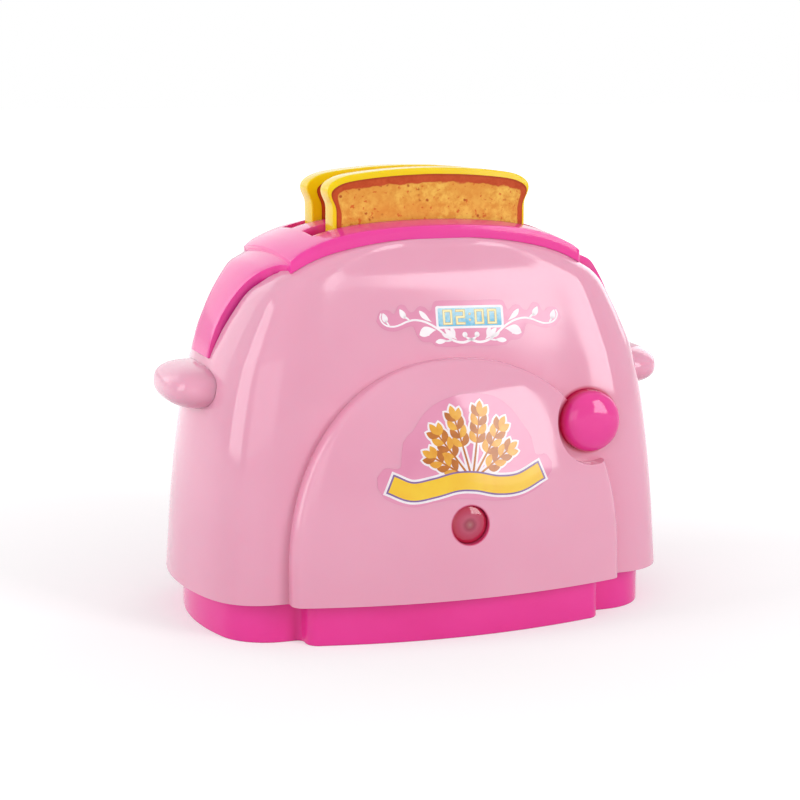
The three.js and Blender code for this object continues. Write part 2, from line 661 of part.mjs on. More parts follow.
// Body shell: opening for the saddle
function shellOpening() {
  const length = SADDLE_HALF_LENGTH - SADDLE_LEDGE;
  const depth = SADDLE_HALF_DEPTH - SADDLE_LEDGE;
  const middle = block(-length, length, -depth, depth, SHELF_BOTTOM + SHELF_THICKNESS, REACH);
  const strips = raised(saddlePlan(CLEARANCE), STRIP_END - CLEARANCE, REACH);
  const root = STRIP_ROOT.halfDepth + CLEARANCE;
  const sides = [-1, 1].map((side) => {
    const ends = [side * (length - OVERRUN), side * REACH].sort((a, b) => a - b);
    return strips.intersect(block(ends[0], ends[1], -root, root, STRIP_END - CLEARANCE, REACH));
  });
  const within = loaf(STRIP_SINK + CLEARANCE, RIM_HEIGHT, COARSE);
  return joined([middle, ...sides]).subtract(shelves().intersect(within));
}

// Body shell: shelves under the strips, posts and their ribs
function shellInnards() {
  const foot = RIM_HEIGHT + FLANGE_THICKNESS + 2 * CLEARANCE;
  const posts = [];
  for (const [sx, sy] of corners()) {
    const x = sx * BASE_SCREW_X;
    const y = sy * BASE_SCREW_Y;
    posts.push(bar("z", SHELL_POST_RADIUS, foot, SHELL_POST_TOP, [x, y], 16));
    const ends = [y, (sy * TOTAL_DEPTH) / 2].sort((a, b) => a - b);
    posts.push(block(x - RIB / 2, x + RIB / 2, ends[0], ends[1], foot, SHELL_POST_TOP));
  }
  const front = -TOTAL_DEPTH / 2;
  for (const { x, z } of BOARD_HOLES) {
    posts.push(bar("y", BOARD_POST_RADIUS, front, BOARD_FRONT_Y - CLEARANCE, [x, z], 16));
  }
  posts.push(bar("y", COLLAR_OUTER, front, COLLAR_BACK_Y, [0, LIGHT_Z], 24));
  return joined([shelves(), ...posts]).intersect(bodyMiddle);
}

function corners() {
  return [
    [-1, -1],
    [1, -1],
    [1, 1],
    [-1, 1],
  ];
}

function bodyShell() {
  const front = -TOTAL_DEPTH;
  const buttonPlace = [BUTTON_X, BUTTON_Z];
  const seatWall = bar("y", SEAT_RADIUS + WALL, front, SEAT_BACK_Y, buttonPlace, 32).intersect(bodyOutside);
  const shell = bodyOutside.subtract(bodyInside).add(shellInnards()).add(seatWall);
  const screwBore = SCREW_SHANK + SCREW_PLAY;
  const cutters = [
    shellOpening(),
    bar("y", SEAT_RADIUS, front, SEAT_FLOOR_Y, [BUTTON_X, BUTTON_Z], 32),
    bar("y", BUTTON_RADIUS + CLEARANCE, front, 0, [BUTTON_X, BUTTON_Z], 32).intersect(
      block(0, REACH, front, BOARD_FRONT_Y - WALL, 0, REACH),
    ),
    bar("y", LIGHT_HOLE_RADIUS, front, 0, [0, LIGHT_Z], 24).intersect(
      block(-REACH, REACH, front, BOARD_FRONT_Y, 0, REACH),
    ),
    bar("y", LENS_FLANGE_RADIUS + CLEARANCE, LENS_SEAT_Y, COLLAR_BACK_Y + OVERRUN, [0, LIGHT_Z], 24),
  ];
  for (const side of [-1, 1]) {
    const ends = [side * (SHELF_START - OVERRUN), (side * TOTAL_LENGTH) / 2].sort((a, b) => a - b);
    const x = side * SADDLE_POST_X;
    const shelfTop = SHELF_BOTTOM + SHELF_THICKNESS;
    cutters.push(bar("z", screwBore, SHELF_BOTTOM - OVERRUN, shelfTop + OVERRUN, [x, 0], 12));
    for (const y of [-PEG_Y, PEG_Y]) {
      cutters.push(bar("x", PEG_RADIUS + CLEARANCE, ends[0], ends[1], [y, HANDLE_HEIGHT], 16));
    }
  }
  for (const [sx, sy] of corners()) {
    const centre = [sx * BASE_SCREW_X, sy * BASE_SCREW_Y];
    cutters.push(bar("z", screwBore, RIM_HEIGHT, SHELL_POST_TOP - WALL, centre, 12));
  }
  for (const { x, z } of BOARD_HOLES) {
    const bore = BOARD_FRONT_Y - BOARD_SCREW_LENGTH;
    cutters.push(bar("y", SCREW_SHANK + SCREW_PLAY, bore, BOARD_FRONT_Y, [x, z], 12));
  }
  return without(shell, cutters);
}

// Top saddle: skin, inner skirt and two screw posts
function topSaddle() {
  const plan = raised(saddlePlan(0), STRIP_END, REACH);
  const seat = STRIP_ROOT.x;
  const overShell = looseLoaf.intersect(block(-seat, seat, -REACH, REACH, 0, REACH));
  const underStrips = loaf(STRIP_SINK, RIM_HEIGHT, COARSE);
  const top = underSaddleTop();
  const skin = plan.intersect(top).subtract(overShell).subtract(underStrips);
  const gap = SADDLE_LEDGE + CLEARANCE;
  const length = SADDLE_HALF_LENGTH - gap;
  const depth = SADDLE_HALF_DEPTH - gap;
  const skirt = block(-length, length, -depth, depth, SKIRT_BOTTOM, REACH).subtract(
    block(-length + THIN_WALL, length - THIN_WALL, -depth + THIN_WALL, depth - THIN_WALL, 0, REACH),
  );
  const postFoot = SHELF_BOTTOM + SHELF_THICKNESS + CLEARANCE;
  const posts = [-1, 1].map((side) =>
    bar("z", SADDLE_POST_RADIUS, postFoot, REACH - OVERRUN, [side * SADDLE_POST_X, 0], 20),
  );
  const bores = [-1, 1].map((side) =>
    bar("z", SCREW_SHANK + SCREW_PLAY, postFoot - OVERRUN, SKIRT_BOTTOM, [side * SADDLE_POST_X, 0], 12),
  );
  const innards = joined([skirt, ...posts]).intersect(top);
  return without(skin.add(innards), [...bores, slotCutter(-1), slotCutter(1)]);
}

// Toast well: two troughs joined by ribs, with an ear on each end
function toastWell() {
  const length = SLOT_HALF_LENGTH + WELL_PLAY;
  const half = SLOT_WIDTH / 2 + WELL_PLAY;
  const floor = WELL_FLOOR_TOP - WELL_FLOOR;
  const troughs = [-1, 1].map((side) =>
    block(
      -length - THIN_WALL,
      length + THIN_WALL,
      side * SLOT_Y - half - THIN_WALL,
      side * SLOT_Y + half + THIN_WALL,
      floor,
      REACH,
    ),
  );
  const hollows = [-1, 1].map((side) =>
    block(-length, length, side * SLOT_Y - half, side * SLOT_Y + half, WELL_FLOOR_TOP, REACH + OVERRUN),
  );
  const ribs = [-WELL_RIB_X, 0, WELL_RIB_X].map((x) =>
    block(x - RIB / 2, x + RIB / 2, -SLOT_Y, SLOT_Y, floor, WELL_RIB_TOP),
  );
  const earTop = SHELF_BOTTOM - CLEARANCE;
  const earFoot = earTop - EAR_THICKNESS;
  const ears = block(-EAR_END, EAR_END, -EAR_HALF_DEPTH, EAR_HALF_DEPTH, earFoot, earTop).subtract(
    block(-length, length, -REACH, REACH, 0, REACH),
  );
  const bores = [-1, 1].map((side) =>
    bar("z", SCREW_SHANK + SCREW_PLAY, earFoot - OVERRUN, SHELF_BOTTOM, [side * SADDLE_POST_X, 0], 12),
  );
  return without(joined([...troughs, ...ribs, ears]), [...hollows, ...bores]).intersect(wholeLoaf);
}

// One slice: loaf outline with a narrow neck, rounded edges
function toastSlice(side) {
  const foot = WELL_FLOOR_TOP + CLEARANCE + SLICE_EDGE;
  const width = SLICE_HALF_WIDTH - SLICE_EDGE;
  const wide = SLICE_CROWN_HALF_WIDTH - SLICE_EDGE;
  const top = TOTAL_HEIGHT - SLICE_EDGE;
  const shoulder = { x: SLICE_SHOULDER.x - SLICE_EDGE / 2, z: SLICE_SHOULDER.z - SLICE_EDGE };
  const neck = SLICE_NECK;
  const half = [
    { to: [0, top] },
    { by: [shoulder.x * SLICE_CROWN_SHARE, top], to: [shoulder.x, shoulder.z] },
    { by: [wide, shoulder.z - SLICE_EDGE], to: [wide, SLICE_WIDEST] },
    { by: [wide, neck + SLICE_EDGE], to: [(width + wide) / 2, neck] },
    { by: [width, neck - SLICE_EDGE], to: [width, neck - 2 * SLICE_EDGE] },
    { to: [width, foot + SLICE_FOOT_RADIUS] },
    { by: [width, foot], to: [width - SLICE_FOOT_RADIUS, foot] },
  ];
  const shape = new THREE.Shape();
  shape.moveTo(0, top);
  for (const { by, to } of half.slice(1)) {
    if (by) shape.quadraticCurveTo(by[0], by[1], to[0], to[1]);
    else shape.lineTo(to[0], to[1]);
  }
  shape.lineTo(-width + SLICE_FOOT_RADIUS, foot);
  for (let i = half.length - 1; i > 0; i -= 1) {
    const { by } = half[i];
    const { to } = half[i - 1];
    if (by) shape.quadraticCurveTo(-by[0], by[1], -to[0], to[1]);
    else shape.lineTo(-to[0], to[1]);
  }
  const depth = SLICE_THICKNESS - 2 * SLICE_EDGE;
  const geometry = new THREE.ExtrudeGeometry(shape, {
    depth,
    bevelEnabled: true,
    bevelThickness: SLICE_EDGE,
    bevelSize: SLICE_EDGE,
    bevelSegments: 2,
    curveSegments: 4,
  });
  geometry.rotateX(Math.PI / 2);
  geometry.translate(SLICE_SHIFT, side * SLOT_Y + depth / 2, 0);
  return solid(geometry);
}

// A rounded power of a sine or cosine that keeps its sign
function eased(value, power) {
  return Math.sign(value) * Math.abs(value) ** (2 / power);
}

// One handle with two pegs through the wall, their heads pressed flat inside
function handle(side) {
  const reach = HANDLE_REACH;
  const rings = evenly(-HANDLE_POLE, HANDLE_POLE, HANDLE_RINGS).map((level) => {
    const share = eased(Math.cos(level), HANDLE_POWER);
    const z = HANDLE_HEIGHT + (HANDLE_THICKNESS / 2) * eased(Math.sin(level), HANDLE_POWER);
    const turns = evenly(0, 2 * Math.PI, HANDLE_SIDES).slice(0, -1);
    return turns.map((turn) => {
      const x = HANDLE_CENTRE_X + share * reach * eased(Math.cos(turn), HANDLE_POWER);
      return new THREE.Vector3(x, share * HANDLE_HALF_DEPTH * eased(Math.sin(turn), HANDLE_POWER), z);
    });
  });
  const grip = lofted(rings).subtract(looseLoaf);
  const wallInside = smooth(SHELL_STATIONS, HANDLE_HEIGHT, "z", "halfWidth") - WALL;
  const headEnd = wallInside - PEG_HEAD_HEIGHT;
  const inside = loaf(WALL + CLEARANCE, RIM_HEIGHT, COARSE);
  const pegs = [-PEG_Y, PEG_Y].flatMap((y) => [
    bar("x", PEG_RADIUS, headEnd - WALL, HANDLE_CENTRE_X + reach / 2, [y, HANDLE_HEIGHT], 10),
    bar("x", PEG_HEAD_RADIUS, headEnd - WALL, HANDLE_CENTRE_X + reach, [y, HANDLE_HEIGHT], 10).intersect(inside),
  ]);
  const right = joined([grip, ...pegs]);
  return side > 0 ? right : right.mirror([1, 0, 0]);
}

// Plan of the base under the body's rim, drawn in by an inset
function basePlanSolid(inset, z0, z1, steps) {
  const halfWidth = ARCH_HALF_WIDTH - inset;
  const edge = halfWidth - BASE_CORNER;
  const bowed = evenly(-edge, edge, BOW_STEPS).map((x) => [x, archFront(x, RIM_HEIGHT, inset)]);
  const cornerY = archFront(edge, RIM_HEIGHT, inset) + BASE_CORNER;
  const sides = [
    [halfWidth, cornerY],
    [halfWidth, -ARCH_ROOT],
    [-halfWidth, -ARCH_ROOT],
    [-halfWidth, cornerY],
  ];
  const plan = [...bowed, ...sides];
  const front = raised(new THREE.Shape(plan.map(([x, y]) => new THREE.Vector2(x, y))), z0, z1);
  const middle = lofted([z0, z1].map((z) => shellRing(RIM_HEIGHT - inset, inset, z, steps)));
  return joined([middle, front, front.mirror([0, 1, 0])]);
}

// Base tray: plinth wall, floor, flange inside the body's rim, screw tubes and battery bay
function baseTray() {
  const top = RIM_HEIGHT + CLEARANCE;
  const hollow = basePlanSolid(BASE_INSET + BASE_WALL, BASE_FLOOR, top + OVERRUN, COARSE);
  const plinth = basePlanSolid(BASE_INSET, 0, top, FINE).subtract(hollow);
  const flangeOuter = basePlanSolid(WALL + 2 * CLEARANCE, top, top + FLANGE_THICKNESS, COARSE);
  const flangeTop = top + FLANGE_THICKNESS;
  const flangeInner = basePlanSolid(BASE_INSET + FLANGE_WIDTH, top - OVERRUN, flangeTop + OVERRUN, COARSE);
  const flange = flangeOuter.subtract(flangeInner);
  const length = BAY_HALF_LENGTH + BAY_WALL;
  const depth = BAY_HALF_DEPTH + BAY_WALL;
  const bay = block(-length, length, -depth, depth, BASE_FLOOR / 2, BAY_ROOF + BAY_ROOF_THICKNESS);
  const doorPost = bar("z", DOOR_POST_RADIUS, BASE_FLOOR / 2, DOOR_POST_TOP, [DOOR_SCREW_X, 0], 20);
  const tubes = corners().map(([sx, sy]) =>
    bar("z", BASE_TUBE_RADIUS, 0, top + FLANGE_THICKNESS, [sx * BASE_SCREW_X, sy * BASE_SCREW_Y], 20),
  );
  const bore = SCREW_SHANK + SCREW_PLAY;
  const slot = CONTACT_THICKNESS + 2 * CLEARANCE;
  const cutters = [
    block(-BAY_HALF_LENGTH, BAY_HALF_LENGTH, -BAY_HALF_DEPTH, BAY_HALF_DEPTH, -OVERRUN, BAY_ROOF),
    block(
      DOOR_LEFT - CLEARANCE,
      DOOR_RIGHT + CLEARANCE,
      -DOOR_HALF_DEPTH - CLEARANCE,
      DOOR_HALF_DEPTH + CLEARANCE,
      -OVERRUN,
      DOOR_TOP + CLEARANCE,
    ),
    bar("z", DOOR_CUP_RADIUS + CLEARANCE, -OVERRUN, DOOR_CUP_TOP + CLEARANCE, [DOOR_SCREW_X, 0], 20),
    bar("z", bore, -OVERRUN, DOOR_POST_TOP - WALL, [DOOR_SCREW_X, 0], 12),
    ...[-1, 1].map((side) => {
      const x = side * (CONTACT_X + CONTACT_THICKNESS / 2);
      const half = CONTACT_HALF_WIDTH + CLEARANCE;
      const roofTop = BAY_ROOF + BAY_ROOF_THICKNESS;
      return block(x - slot / 2, x + slot / 2, -half, half, BAY_ROOF - OVERRUN, roofTop + OVERRUN);
    }),
    ...corners().flatMap(([sx, sy]) => {
      const centre = [sx * BASE_SCREW_X, sy * BASE_SCREW_Y];
      return [
        bar("z", BASE_SINK_RADIUS, -OVERRUN, BASE_SINK_DEPTH, centre, 20),
        bar("z", bore, -OVERRUN, RIM_HEIGHT * 2, centre, 12),
      ];
    }),
  ];
  return without(joined([plinth, flange, bay, doorPost, ...tubes]), cutters);
}

function batteryDoor() {
  const plate = block(DOOR_LEFT, DOOR_RIGHT, -DOOR_HALF_DEPTH, DOOR_HALF_DEPTH, DOOR_BOTTOM, DOOR_TOP);
  const grip = block(
    DOOR_LEFT + WALL,
    DOOR_LEFT + 2 * WALL,
    -DOOR_HALF_DEPTH / 2,
    DOOR_HALF_DEPTH / 2,
    DOOR_BOTTOM - OVERRUN,
    DOOR_BOTTOM + THIN_WALL / 2,
  );
  const cushion = block(
    -BAY_HALF_LENGTH + WALL,
    BAY_HALF_LENGTH - WALL,
    -SCREW_HEAD_RADIUS,
    SCREW_HEAD_RADIUS,
    DOOR_TOP - THIN_WALL / 2,
    DOOR_TOP + CLEARANCE / 2,
  );
  const cup = bar("z", DOOR_CUP_RADIUS, DOOR_BOTTOM, DOOR_CUP_TOP, [DOOR_SCREW_X, 0], 20);
  return without(joined([plate, cushion, cup]), [
    grip,
    bar("z", DOOR_DISH_RADIUS, -OVERRUN, DOOR_DISH_TOP, [DOOR_SCREW_X, 0], 20),
    bar("z", SCREW_SHANK + SCREW_PLAY, -OVERRUN, RIM_HEIGHT, [DOOR_SCREW_X, 0], 12),
  ]);
}

// A pan-head screw that points up from its head's underside
function screw(length) {
  const shank = SCREW_SHANK;
  const head = SCREW_HEAD_RADIUS;
  const rise = SCREW_HEAD_HEIGHT;
  const profile = [
    [0, -rise],
    [head * SCREW_FLAT_SHARE, -rise],
    [head, -rise * SCREW_EDGE_SHARE],
    [head, 0],
    [shank, 0],
    [shank, length - shank],
    [0, length],
  ];
  const body = turned(profile, 12);
  body.rotateX(Math.PI / 2);
  const half = SCREW_CROSS_LENGTH / 2;
  const thin = SCREW_CROSS_WIDTH / 2;
  const floor = -rise + SCREW_CROSS_DEPTH;
  return without(solid(body), [
    block(-half, half, -thin, thin, -rise - OVERRUN, floor),
    block(-thin, thin, -half, half, -rise - OVERRUN, floor),
  ]);
}

function buttonCell(place) {
  const half = CELL_LENGTH / 2;
  const profile = [
    [0, -half],
    [CELL_CAP_RADIUS, -half],
    [CELL_CAP_RADIUS, -half + CELL_RIM],
    [CELL_RADIUS, -half + 2 * CELL_RIM],
    [CELL_RADIUS, half - CELL_RIM],
    [CELL_RADIUS - CELL_RIM, half],
    [0, half],
  ];
  const geometry = turned(profile, 20);
  geometry.rotateZ(-Math.PI / 2);
  geometry.translate(place * CELL_STEP, 0, CELL_HEIGHT);
  return solid(geometry);
}

// A sheet contact standing at one end of the cells, its top through the roof
function contact(side) {
  const plate = block(
    CONTACT_X,
    CONTACT_X + CONTACT_THICKNESS,
    -CONTACT_HALF_WIDTH,
    CONTACT_HALF_WIDTH,
    CONTACT_FOOT,
    CONTACT_TOP,
  );
  const dimple = bar("x", CONTACT_DIMPLE, CONTACT_X - CONTACT_DIMPLE_DEPTH, CONTACT_X, [0, CELL_HEIGHT], 16);
  const right = plate.add(dimple);
  return side > 0 ? right : right.mirror([1, 0, 0]);
}

// A lathe profile laid along Y: each pair is a radius and a place on Y
function turnedAlongY(profile, x, z, sides) {
  const geometry = turned(profile, sides);
  geometry.translate(x, 0, z);
  return solid(geometry);
}

function buttonCap() {
  const flangeFront = SEAT_BACK_Y + CLEARANCE;
  const flangeBack = flangeFront + BUTTON_FLANGE_THICKNESS;
  const plungerTip = BOARD_FRONT_Y - CLEARANCE - SWITCH_DEPTH - PLUNGER_OUT;
  const dome = evenly(0, 1, 4).map((share) => {
    const angle = (share * Math.PI) / 2;
    return [
      BUTTON_RADIUS * Math.sin(angle),
      BUTTON_EDGE_Y + (BUTTON_TIP_Y - BUTTON_EDGE_Y) * Math.cos(angle),
    ];
  });
  const profile = [
    ...dome,
    [BUTTON_RADIUS, flangeFront],
    [BUTTON_FLANGE_RADIUS, flangeFront],
    [BUTTON_FLANGE_RADIUS, flangeBack],
    [BUTTON_STEM_RADIUS, flangeBack],
    [BUTTON_STEM_RADIUS, plungerTip - CLEARANCE],
    [0, plungerTip - CLEARANCE],
  ];
  return turnedAlongY(profile, BUTTON_X, BUTTON_Z, 32);
}

function pushSwitch() {
  const back = BOARD_FRONT_Y - CLEARANCE;
  const front = back - SWITCH_DEPTH;
  const body = block(
    BUTTON_X - SWITCH_HALF,
    BUTTON_X + SWITCH_HALF,
    front,
    back,
    BUTTON_Z - SWITCH_HALF,
    BUTTON_Z + SWITCH_HALF,
  );
  const bore = PLUNGER_RADIUS + CLEARANCE;
  return body.subtract(bar("y", bore, front - OVERRUN, front + PLUNGER_BORE, [BUTTON_X, BUTTON_Z], 20));
}

function switchPlunger() {
  const front = BOARD_FRONT_Y - CLEARANCE - SWITCH_DEPTH;
  return bar("y", PLUNGER_RADIUS, front - PLUNGER_OUT, front + PLUNGER_IN, [BUTTON_X, BUTTON_Z], 20);
}

class Helix extends THREE.Curve {
  constructor(from, to) {
    super();
    this.from = from;
    this.to = to;
  }

  getPoint(t) {
    const angle = t * SPRING_TURNS * 2 * Math.PI;
    return new THREE.Vector3(
      BUTTON_X + SPRING_RADIUS * Math.cos(angle),
      this.from + (this.to - this.from) * t,
      BUTTON_Z + SPRING_RADIUS * Math.sin(angle),
    );
  }
}

function roundSection(radius, sides) {
  const points = evenly(0, 2 * Math.PI, sides).slice(0, -1);
  return new THREE.Shape(points.map((a) => new THREE.Vector2(radius * Math.cos(a), radius * Math.sin(a))));
}

function buttonSpring() {
  const front = SEAT_BACK_Y + 2 * CLEARANCE + BUTTON_FLANGE_THICKNESS + SPRING_WIRE;
  const back = BOARD_FRONT_Y - 2 * CLEARANCE - SWITCH_DEPTH - SPRING_WIRE;
  return solid(
    new THREE.ExtrudeGeometry(roundSection(SPRING_WIRE, 5), {
      steps: SPRING_TURNS * 12,
      bevelEnabled: false,
      extrudePath: new Helix(front, back),
    }),
  );
}

function switchBoard() {
  const back = BOARD_FRONT_Y + BOARD_THICKNESS;
  const sheet = block(BOARD.left, BOARD.right, BOARD_FRONT_Y, back, BOARD.bottom, BOARD.top);
  return without(
    sheet,
    BOARD_HOLES.map(({ x, z }) =>
      bar("y", SCREW_SHANK + SCREW_PLAY, BOARD_FRONT_Y - OVERRUN, back + OVERRUN, [x, z], 12),
    ),
  );
}

// A board screw, driven towards the front
function boardScrew({ x, z }) {
  const seat = BOARD_FRONT_Y + BOARD_THICKNESS + CLEARANCE;
  return screw(BOARD_SCREW_LENGTH).rotate([90, 0, 0]).translate([x, seat, z]);
}

function lightLens() {
  const front = LENS_SEAT_Y + CLEARANCE;
  const profile = [
    [0, LENS_TIP_Y],
    [LENS_RADIUS * LENS_SHOULDER_SHARES.radius, LENS_TIP_Y + LENS_DOME * LENS_SHOULDER_SHARES.rise],
    [LENS_RADIUS, LENS_EDGE_Y],
    [LENS_RADIUS, front],
    [LENS_FLANGE_RADIUS, front],
    [LENS_FLANGE_RADIUS, front + LENS_FLANGE],
    [0, front + LENS_FLANGE],
  ];
  return turnedAlongY(profile, 0, LIGHT_Z, 24);
}

function lightHolder() {
  const front = LENS_SEAT_Y + 2 * CLEARANCE + LENS_FLANGE;
  const back = COLLAR_BACK_Y + CLEARANCE;
  const bore = BULB_RADIUS + CLEARANCE;
  const profile = [
    [bore, front],
    [LENS_FLANGE_RADIUS, front],
    [LENS_FLANGE_RADIUS, back],
    [COLLAR_OUTER, back],
    [COLLAR_OUTER, back + HOLDER_RIM],
    [bore, back + HOLDER_RIM],
    [bore, front],
  ];
  return turnedAlongY(profile, 0, LIGHT_Z, 24);
}

function lightBulb() {
  const seat = COLLAR_BACK_Y + 2 * CLEARANCE + HOLDER_RIM;
  const tip = seat - BULB_LENGTH;
  const dome = evenly(0, 1, 3).map((share) => {
    const angle = (share * Math.PI) / 2;
    return [BULB_RADIUS * Math.sin(angle), tip + BULB_RADIUS * (1 - Math.cos(angle))];
  });
  const profile = [
    ...dome,
    [BULB_RADIUS, seat],
    [BULB_RIM_RADIUS, seat],
    [BULB_RIM_RADIUS, seat + BULB_RIM],
    [0, seat + BULB_RIM],
  ];
  const half = PIN_WIDTH / 2;
  const pins = [-1, 1].map((side) => {
    const x = (side * PIN_SPACING) / 2;
    return block(x - half, x + half, seat, seat + BULB_RIM + PIN_LENGTH, LIGHT_Z - half, LIGHT_Z + half);
  });
  return joined([turnedAlongY(profile, 0, LIGHT_Z, 20), ...pins]);
}

// Wire: a round section swept from its start through its bends to its end
function wire({ start, end, bends }) {
  const between = (share, key) => start[key] + share[key] * (end[key] - start[key]);
  const stops = [start, ...bends.map((share) => ({
    x: between(share, "x"),
    y: between(share, "y"),
    z: between(share, "z"),
  })), end];
  const path = new THREE.CatmullRomCurve3(stops.map(({ x, y, z }) => new THREE.Vector3(x, y, z)));
  return solid(
    new THREE.ExtrudeGeometry(roundSection(WIRE_RADIUS, 6), {
      steps: WIRE_STEPS,
      bevelEnabled: false,
      extrudePath: path,
    }),
  );
}

// Wire ends: over a contact's top, behind the board, behind a bulb pin
const contactEnd = (side) => ({
  x: side * (CONTACT_X + CONTACT_THICKNESS / 2),
  y: 0,
  z: CONTACT_TOP + CLEARANCE,
});
const pinEnd = (side) => ({
  x: (side * PIN_SPACING) / 2,
  y: COLLAR_BACK_Y + 3 * CLEARANCE + HOLDER_RIM + BULB_RIM + PIN_LENGTH,
  z: LIGHT_Z,
});
const boardEnd = (left, below) => ({
  x: BUTTON_X - left,
  y: BOARD_FRONT_Y + BOARD_THICKNESS + 2 * CLEARANCE,
  z: BUTTON_Z - below,
});
const BATTERY_PLUS_PAD = { left: 2, below: 5.7 };
const BATTERY_MINUS_PAD = { left: 6, below: 2.2 };
const LIGHT_PLUS_PAD = { left: 9, below: 6.2 };
const LIGHT_MINUS_PAD = { left: 9.5, below: 1.2 };
// Where each wire bends, as shares of the way from its start to its end
const BATTERY_PLUS_SHARES = [
  { x: 0.107, y: 0.114, z: 0.39 },
  { x: 0.583, y: 0.341, z: 0.855 },
  { x: 1, y: 0.568, z: 1 },
];
const BATTERY_MINUS_SHARES = [
  { x: 0.071, y: 0.114, z: 0.324 },
  { x: 0.487, y: 0.227, z: 0.758 },
  { x: 1, y: 0.511, z: 1 },
];
const LIGHT_PLUS_SHARES = [
  { x: 0.154, y: 0.523, z: 0.189 },
  { x: 0.492, y: 1.073, z: 0.55 },
  { x: 0.972, y: 1.257, z: 1 },
];
const LIGHT_MINUS_SHARES = [
  { x: 0.064, y: 0.615, z: 0.255 },
  { x: 0.469, y: 1.073, z: 0.752 },
  { x: 0.975, y: 1.257, z: 1 },
];
const WIRES = [
  {
    name: "battery_wire_plus",
    finish: "red",
    start: contactEnd(1),
    end: boardEnd(BATTERY_PLUS_PAD.left, BATTERY_PLUS_PAD.below),
    bends: BATTERY_PLUS_SHARES,
  },
  {
    name: "battery_wire_minus",
    finish: "black",
    start: contactEnd(-1),
    end: boardEnd(BATTERY_MINUS_PAD.left, BATTERY_MINUS_PAD.below),
    bends: BATTERY_MINUS_SHARES,
  },
  {
    name: "light_wire_plus",
    finish: "red",
    start: pinEnd(1),
    end: boardEnd(LIGHT_PLUS_PAD.left, LIGHT_PLUS_PAD.below),
    bends: LIGHT_PLUS_SHARES,
  },
  {
    name: "light_wire_minus",
    finish: "black",
    start: pinEnd(-1),
    end: boardEnd(LIGHT_MINUS_PAD.left, LIGHT_MINUS_PAD.below),
    bends: LIGHT_MINUS_SHARES,
  },
];

// The assembly
const toaster = new THREE.Group();
toaster.name = "toy_toaster";

function add(name, body, finish) {
  const mesh = new THREE.Mesh(geometryOf(body), new THREE.MeshStandardMaterial(FINISH[finish]));
  mesh.name = name;
  toaster.add(mesh);
}

add("body_shell", bodyShell(), "pink");
add("left_handle", handle(-1), "pink");
add("right_handle", handle(1), "pink");
add("top_saddle", topSaddle(), "magenta");
add("toast_well", toastWell(), "crimson");
add("base_tray", baseTray(), "magenta");
add("slice_front", toastSlice(-1), "yellow");
add("slice_rear", toastSlice(1), "yellow");

add("battery_door", batteryDoor(), "magenta");
add("door_screw", screw(DOOR_SCREW_LENGTH).translate([DOOR_SCREW_X, 0, DOOR_DISH_TOP - CLEARANCE]), "steel");
[-1, 0, 1].forEach((place) => add(`button_cell_${place + 2}`, buttonCell(place), "steel"));
add("contact_minus", contact(-1), "steel");
add("contact_plus", contact(1), "steel");

add("button_cap", buttonCap(), "magenta");
add("button_spring", buttonSpring(), "steel");
add("push_switch", pushSwitch(), "black");
add("switch_plunger", switchPlunger(), "white");
add("switch_board", switchBoard(), "board");
for (const hole of BOARD_HOLES) add(hole.name, boardScrew(hole), "steel");

add("light_lens", lightLens(), "lens");
add("light_bulb", lightBulb(), "bulb");
add("light_holder", lightHolder(), "white");
for (const run of WIRES) add(run.name, wire(run), run.finish);

corners().forEach(([sx, sy], i) => {
  const place = [sx * BASE_SCREW_X, sy * BASE_SCREW_Y, BASE_SINK_DEPTH - CLEARANCE];
  add(`base_screw_${i + 1}`, screw(BASE_SCREW_LENGTH).translate(place), "steel");
});
[-1, 1].forEach((side) => {
  const seat = SHELF_BOTTOM - EAR_THICKNESS - 2 * CLEARANCE;
  const place = [side * SADDLE_POST_X, 0, seat];
  const name = side < 0 ? "saddle_screw_left" : "saddle_screw_right";
  add(name, screw(SADDLE_SCREW_LENGTH).translate(place), "steel");
});

export default toaster;
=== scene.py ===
import math

import bmesh
import bpy
import numpy as np
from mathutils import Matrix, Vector


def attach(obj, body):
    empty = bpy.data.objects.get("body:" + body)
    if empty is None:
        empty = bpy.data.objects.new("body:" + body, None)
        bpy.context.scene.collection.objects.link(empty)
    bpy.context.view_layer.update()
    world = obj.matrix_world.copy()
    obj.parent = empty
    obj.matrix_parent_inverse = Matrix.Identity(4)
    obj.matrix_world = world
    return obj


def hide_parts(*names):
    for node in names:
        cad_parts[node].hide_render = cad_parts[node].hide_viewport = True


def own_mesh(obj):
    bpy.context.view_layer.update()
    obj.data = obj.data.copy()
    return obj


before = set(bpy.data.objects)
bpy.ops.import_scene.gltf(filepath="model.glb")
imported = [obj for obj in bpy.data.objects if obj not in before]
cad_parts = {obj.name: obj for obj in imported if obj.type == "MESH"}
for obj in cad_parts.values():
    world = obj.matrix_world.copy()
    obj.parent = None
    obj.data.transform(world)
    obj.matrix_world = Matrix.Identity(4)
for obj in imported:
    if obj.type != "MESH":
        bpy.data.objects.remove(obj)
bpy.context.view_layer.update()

# Toy toaster, 105 x 70 x 90 mm. X runs along it, -Y is the front with the button, +Z is up.
# Every size below is in millimetres; one factor turns it into Blender's metres.
MM = 0.001
FIT = 0.06        # how closely two mouldings meet


# ---- sizes of the mouldings
RIM = 8.5           # height of the body's lower rim
SIDE_RADIUS = 54.6  # the bowed sides, in plan
SHELL_WALL = 1.8
EASE_SHARE = 0.34   # how far each corner's curve is eased, as a share of its radius
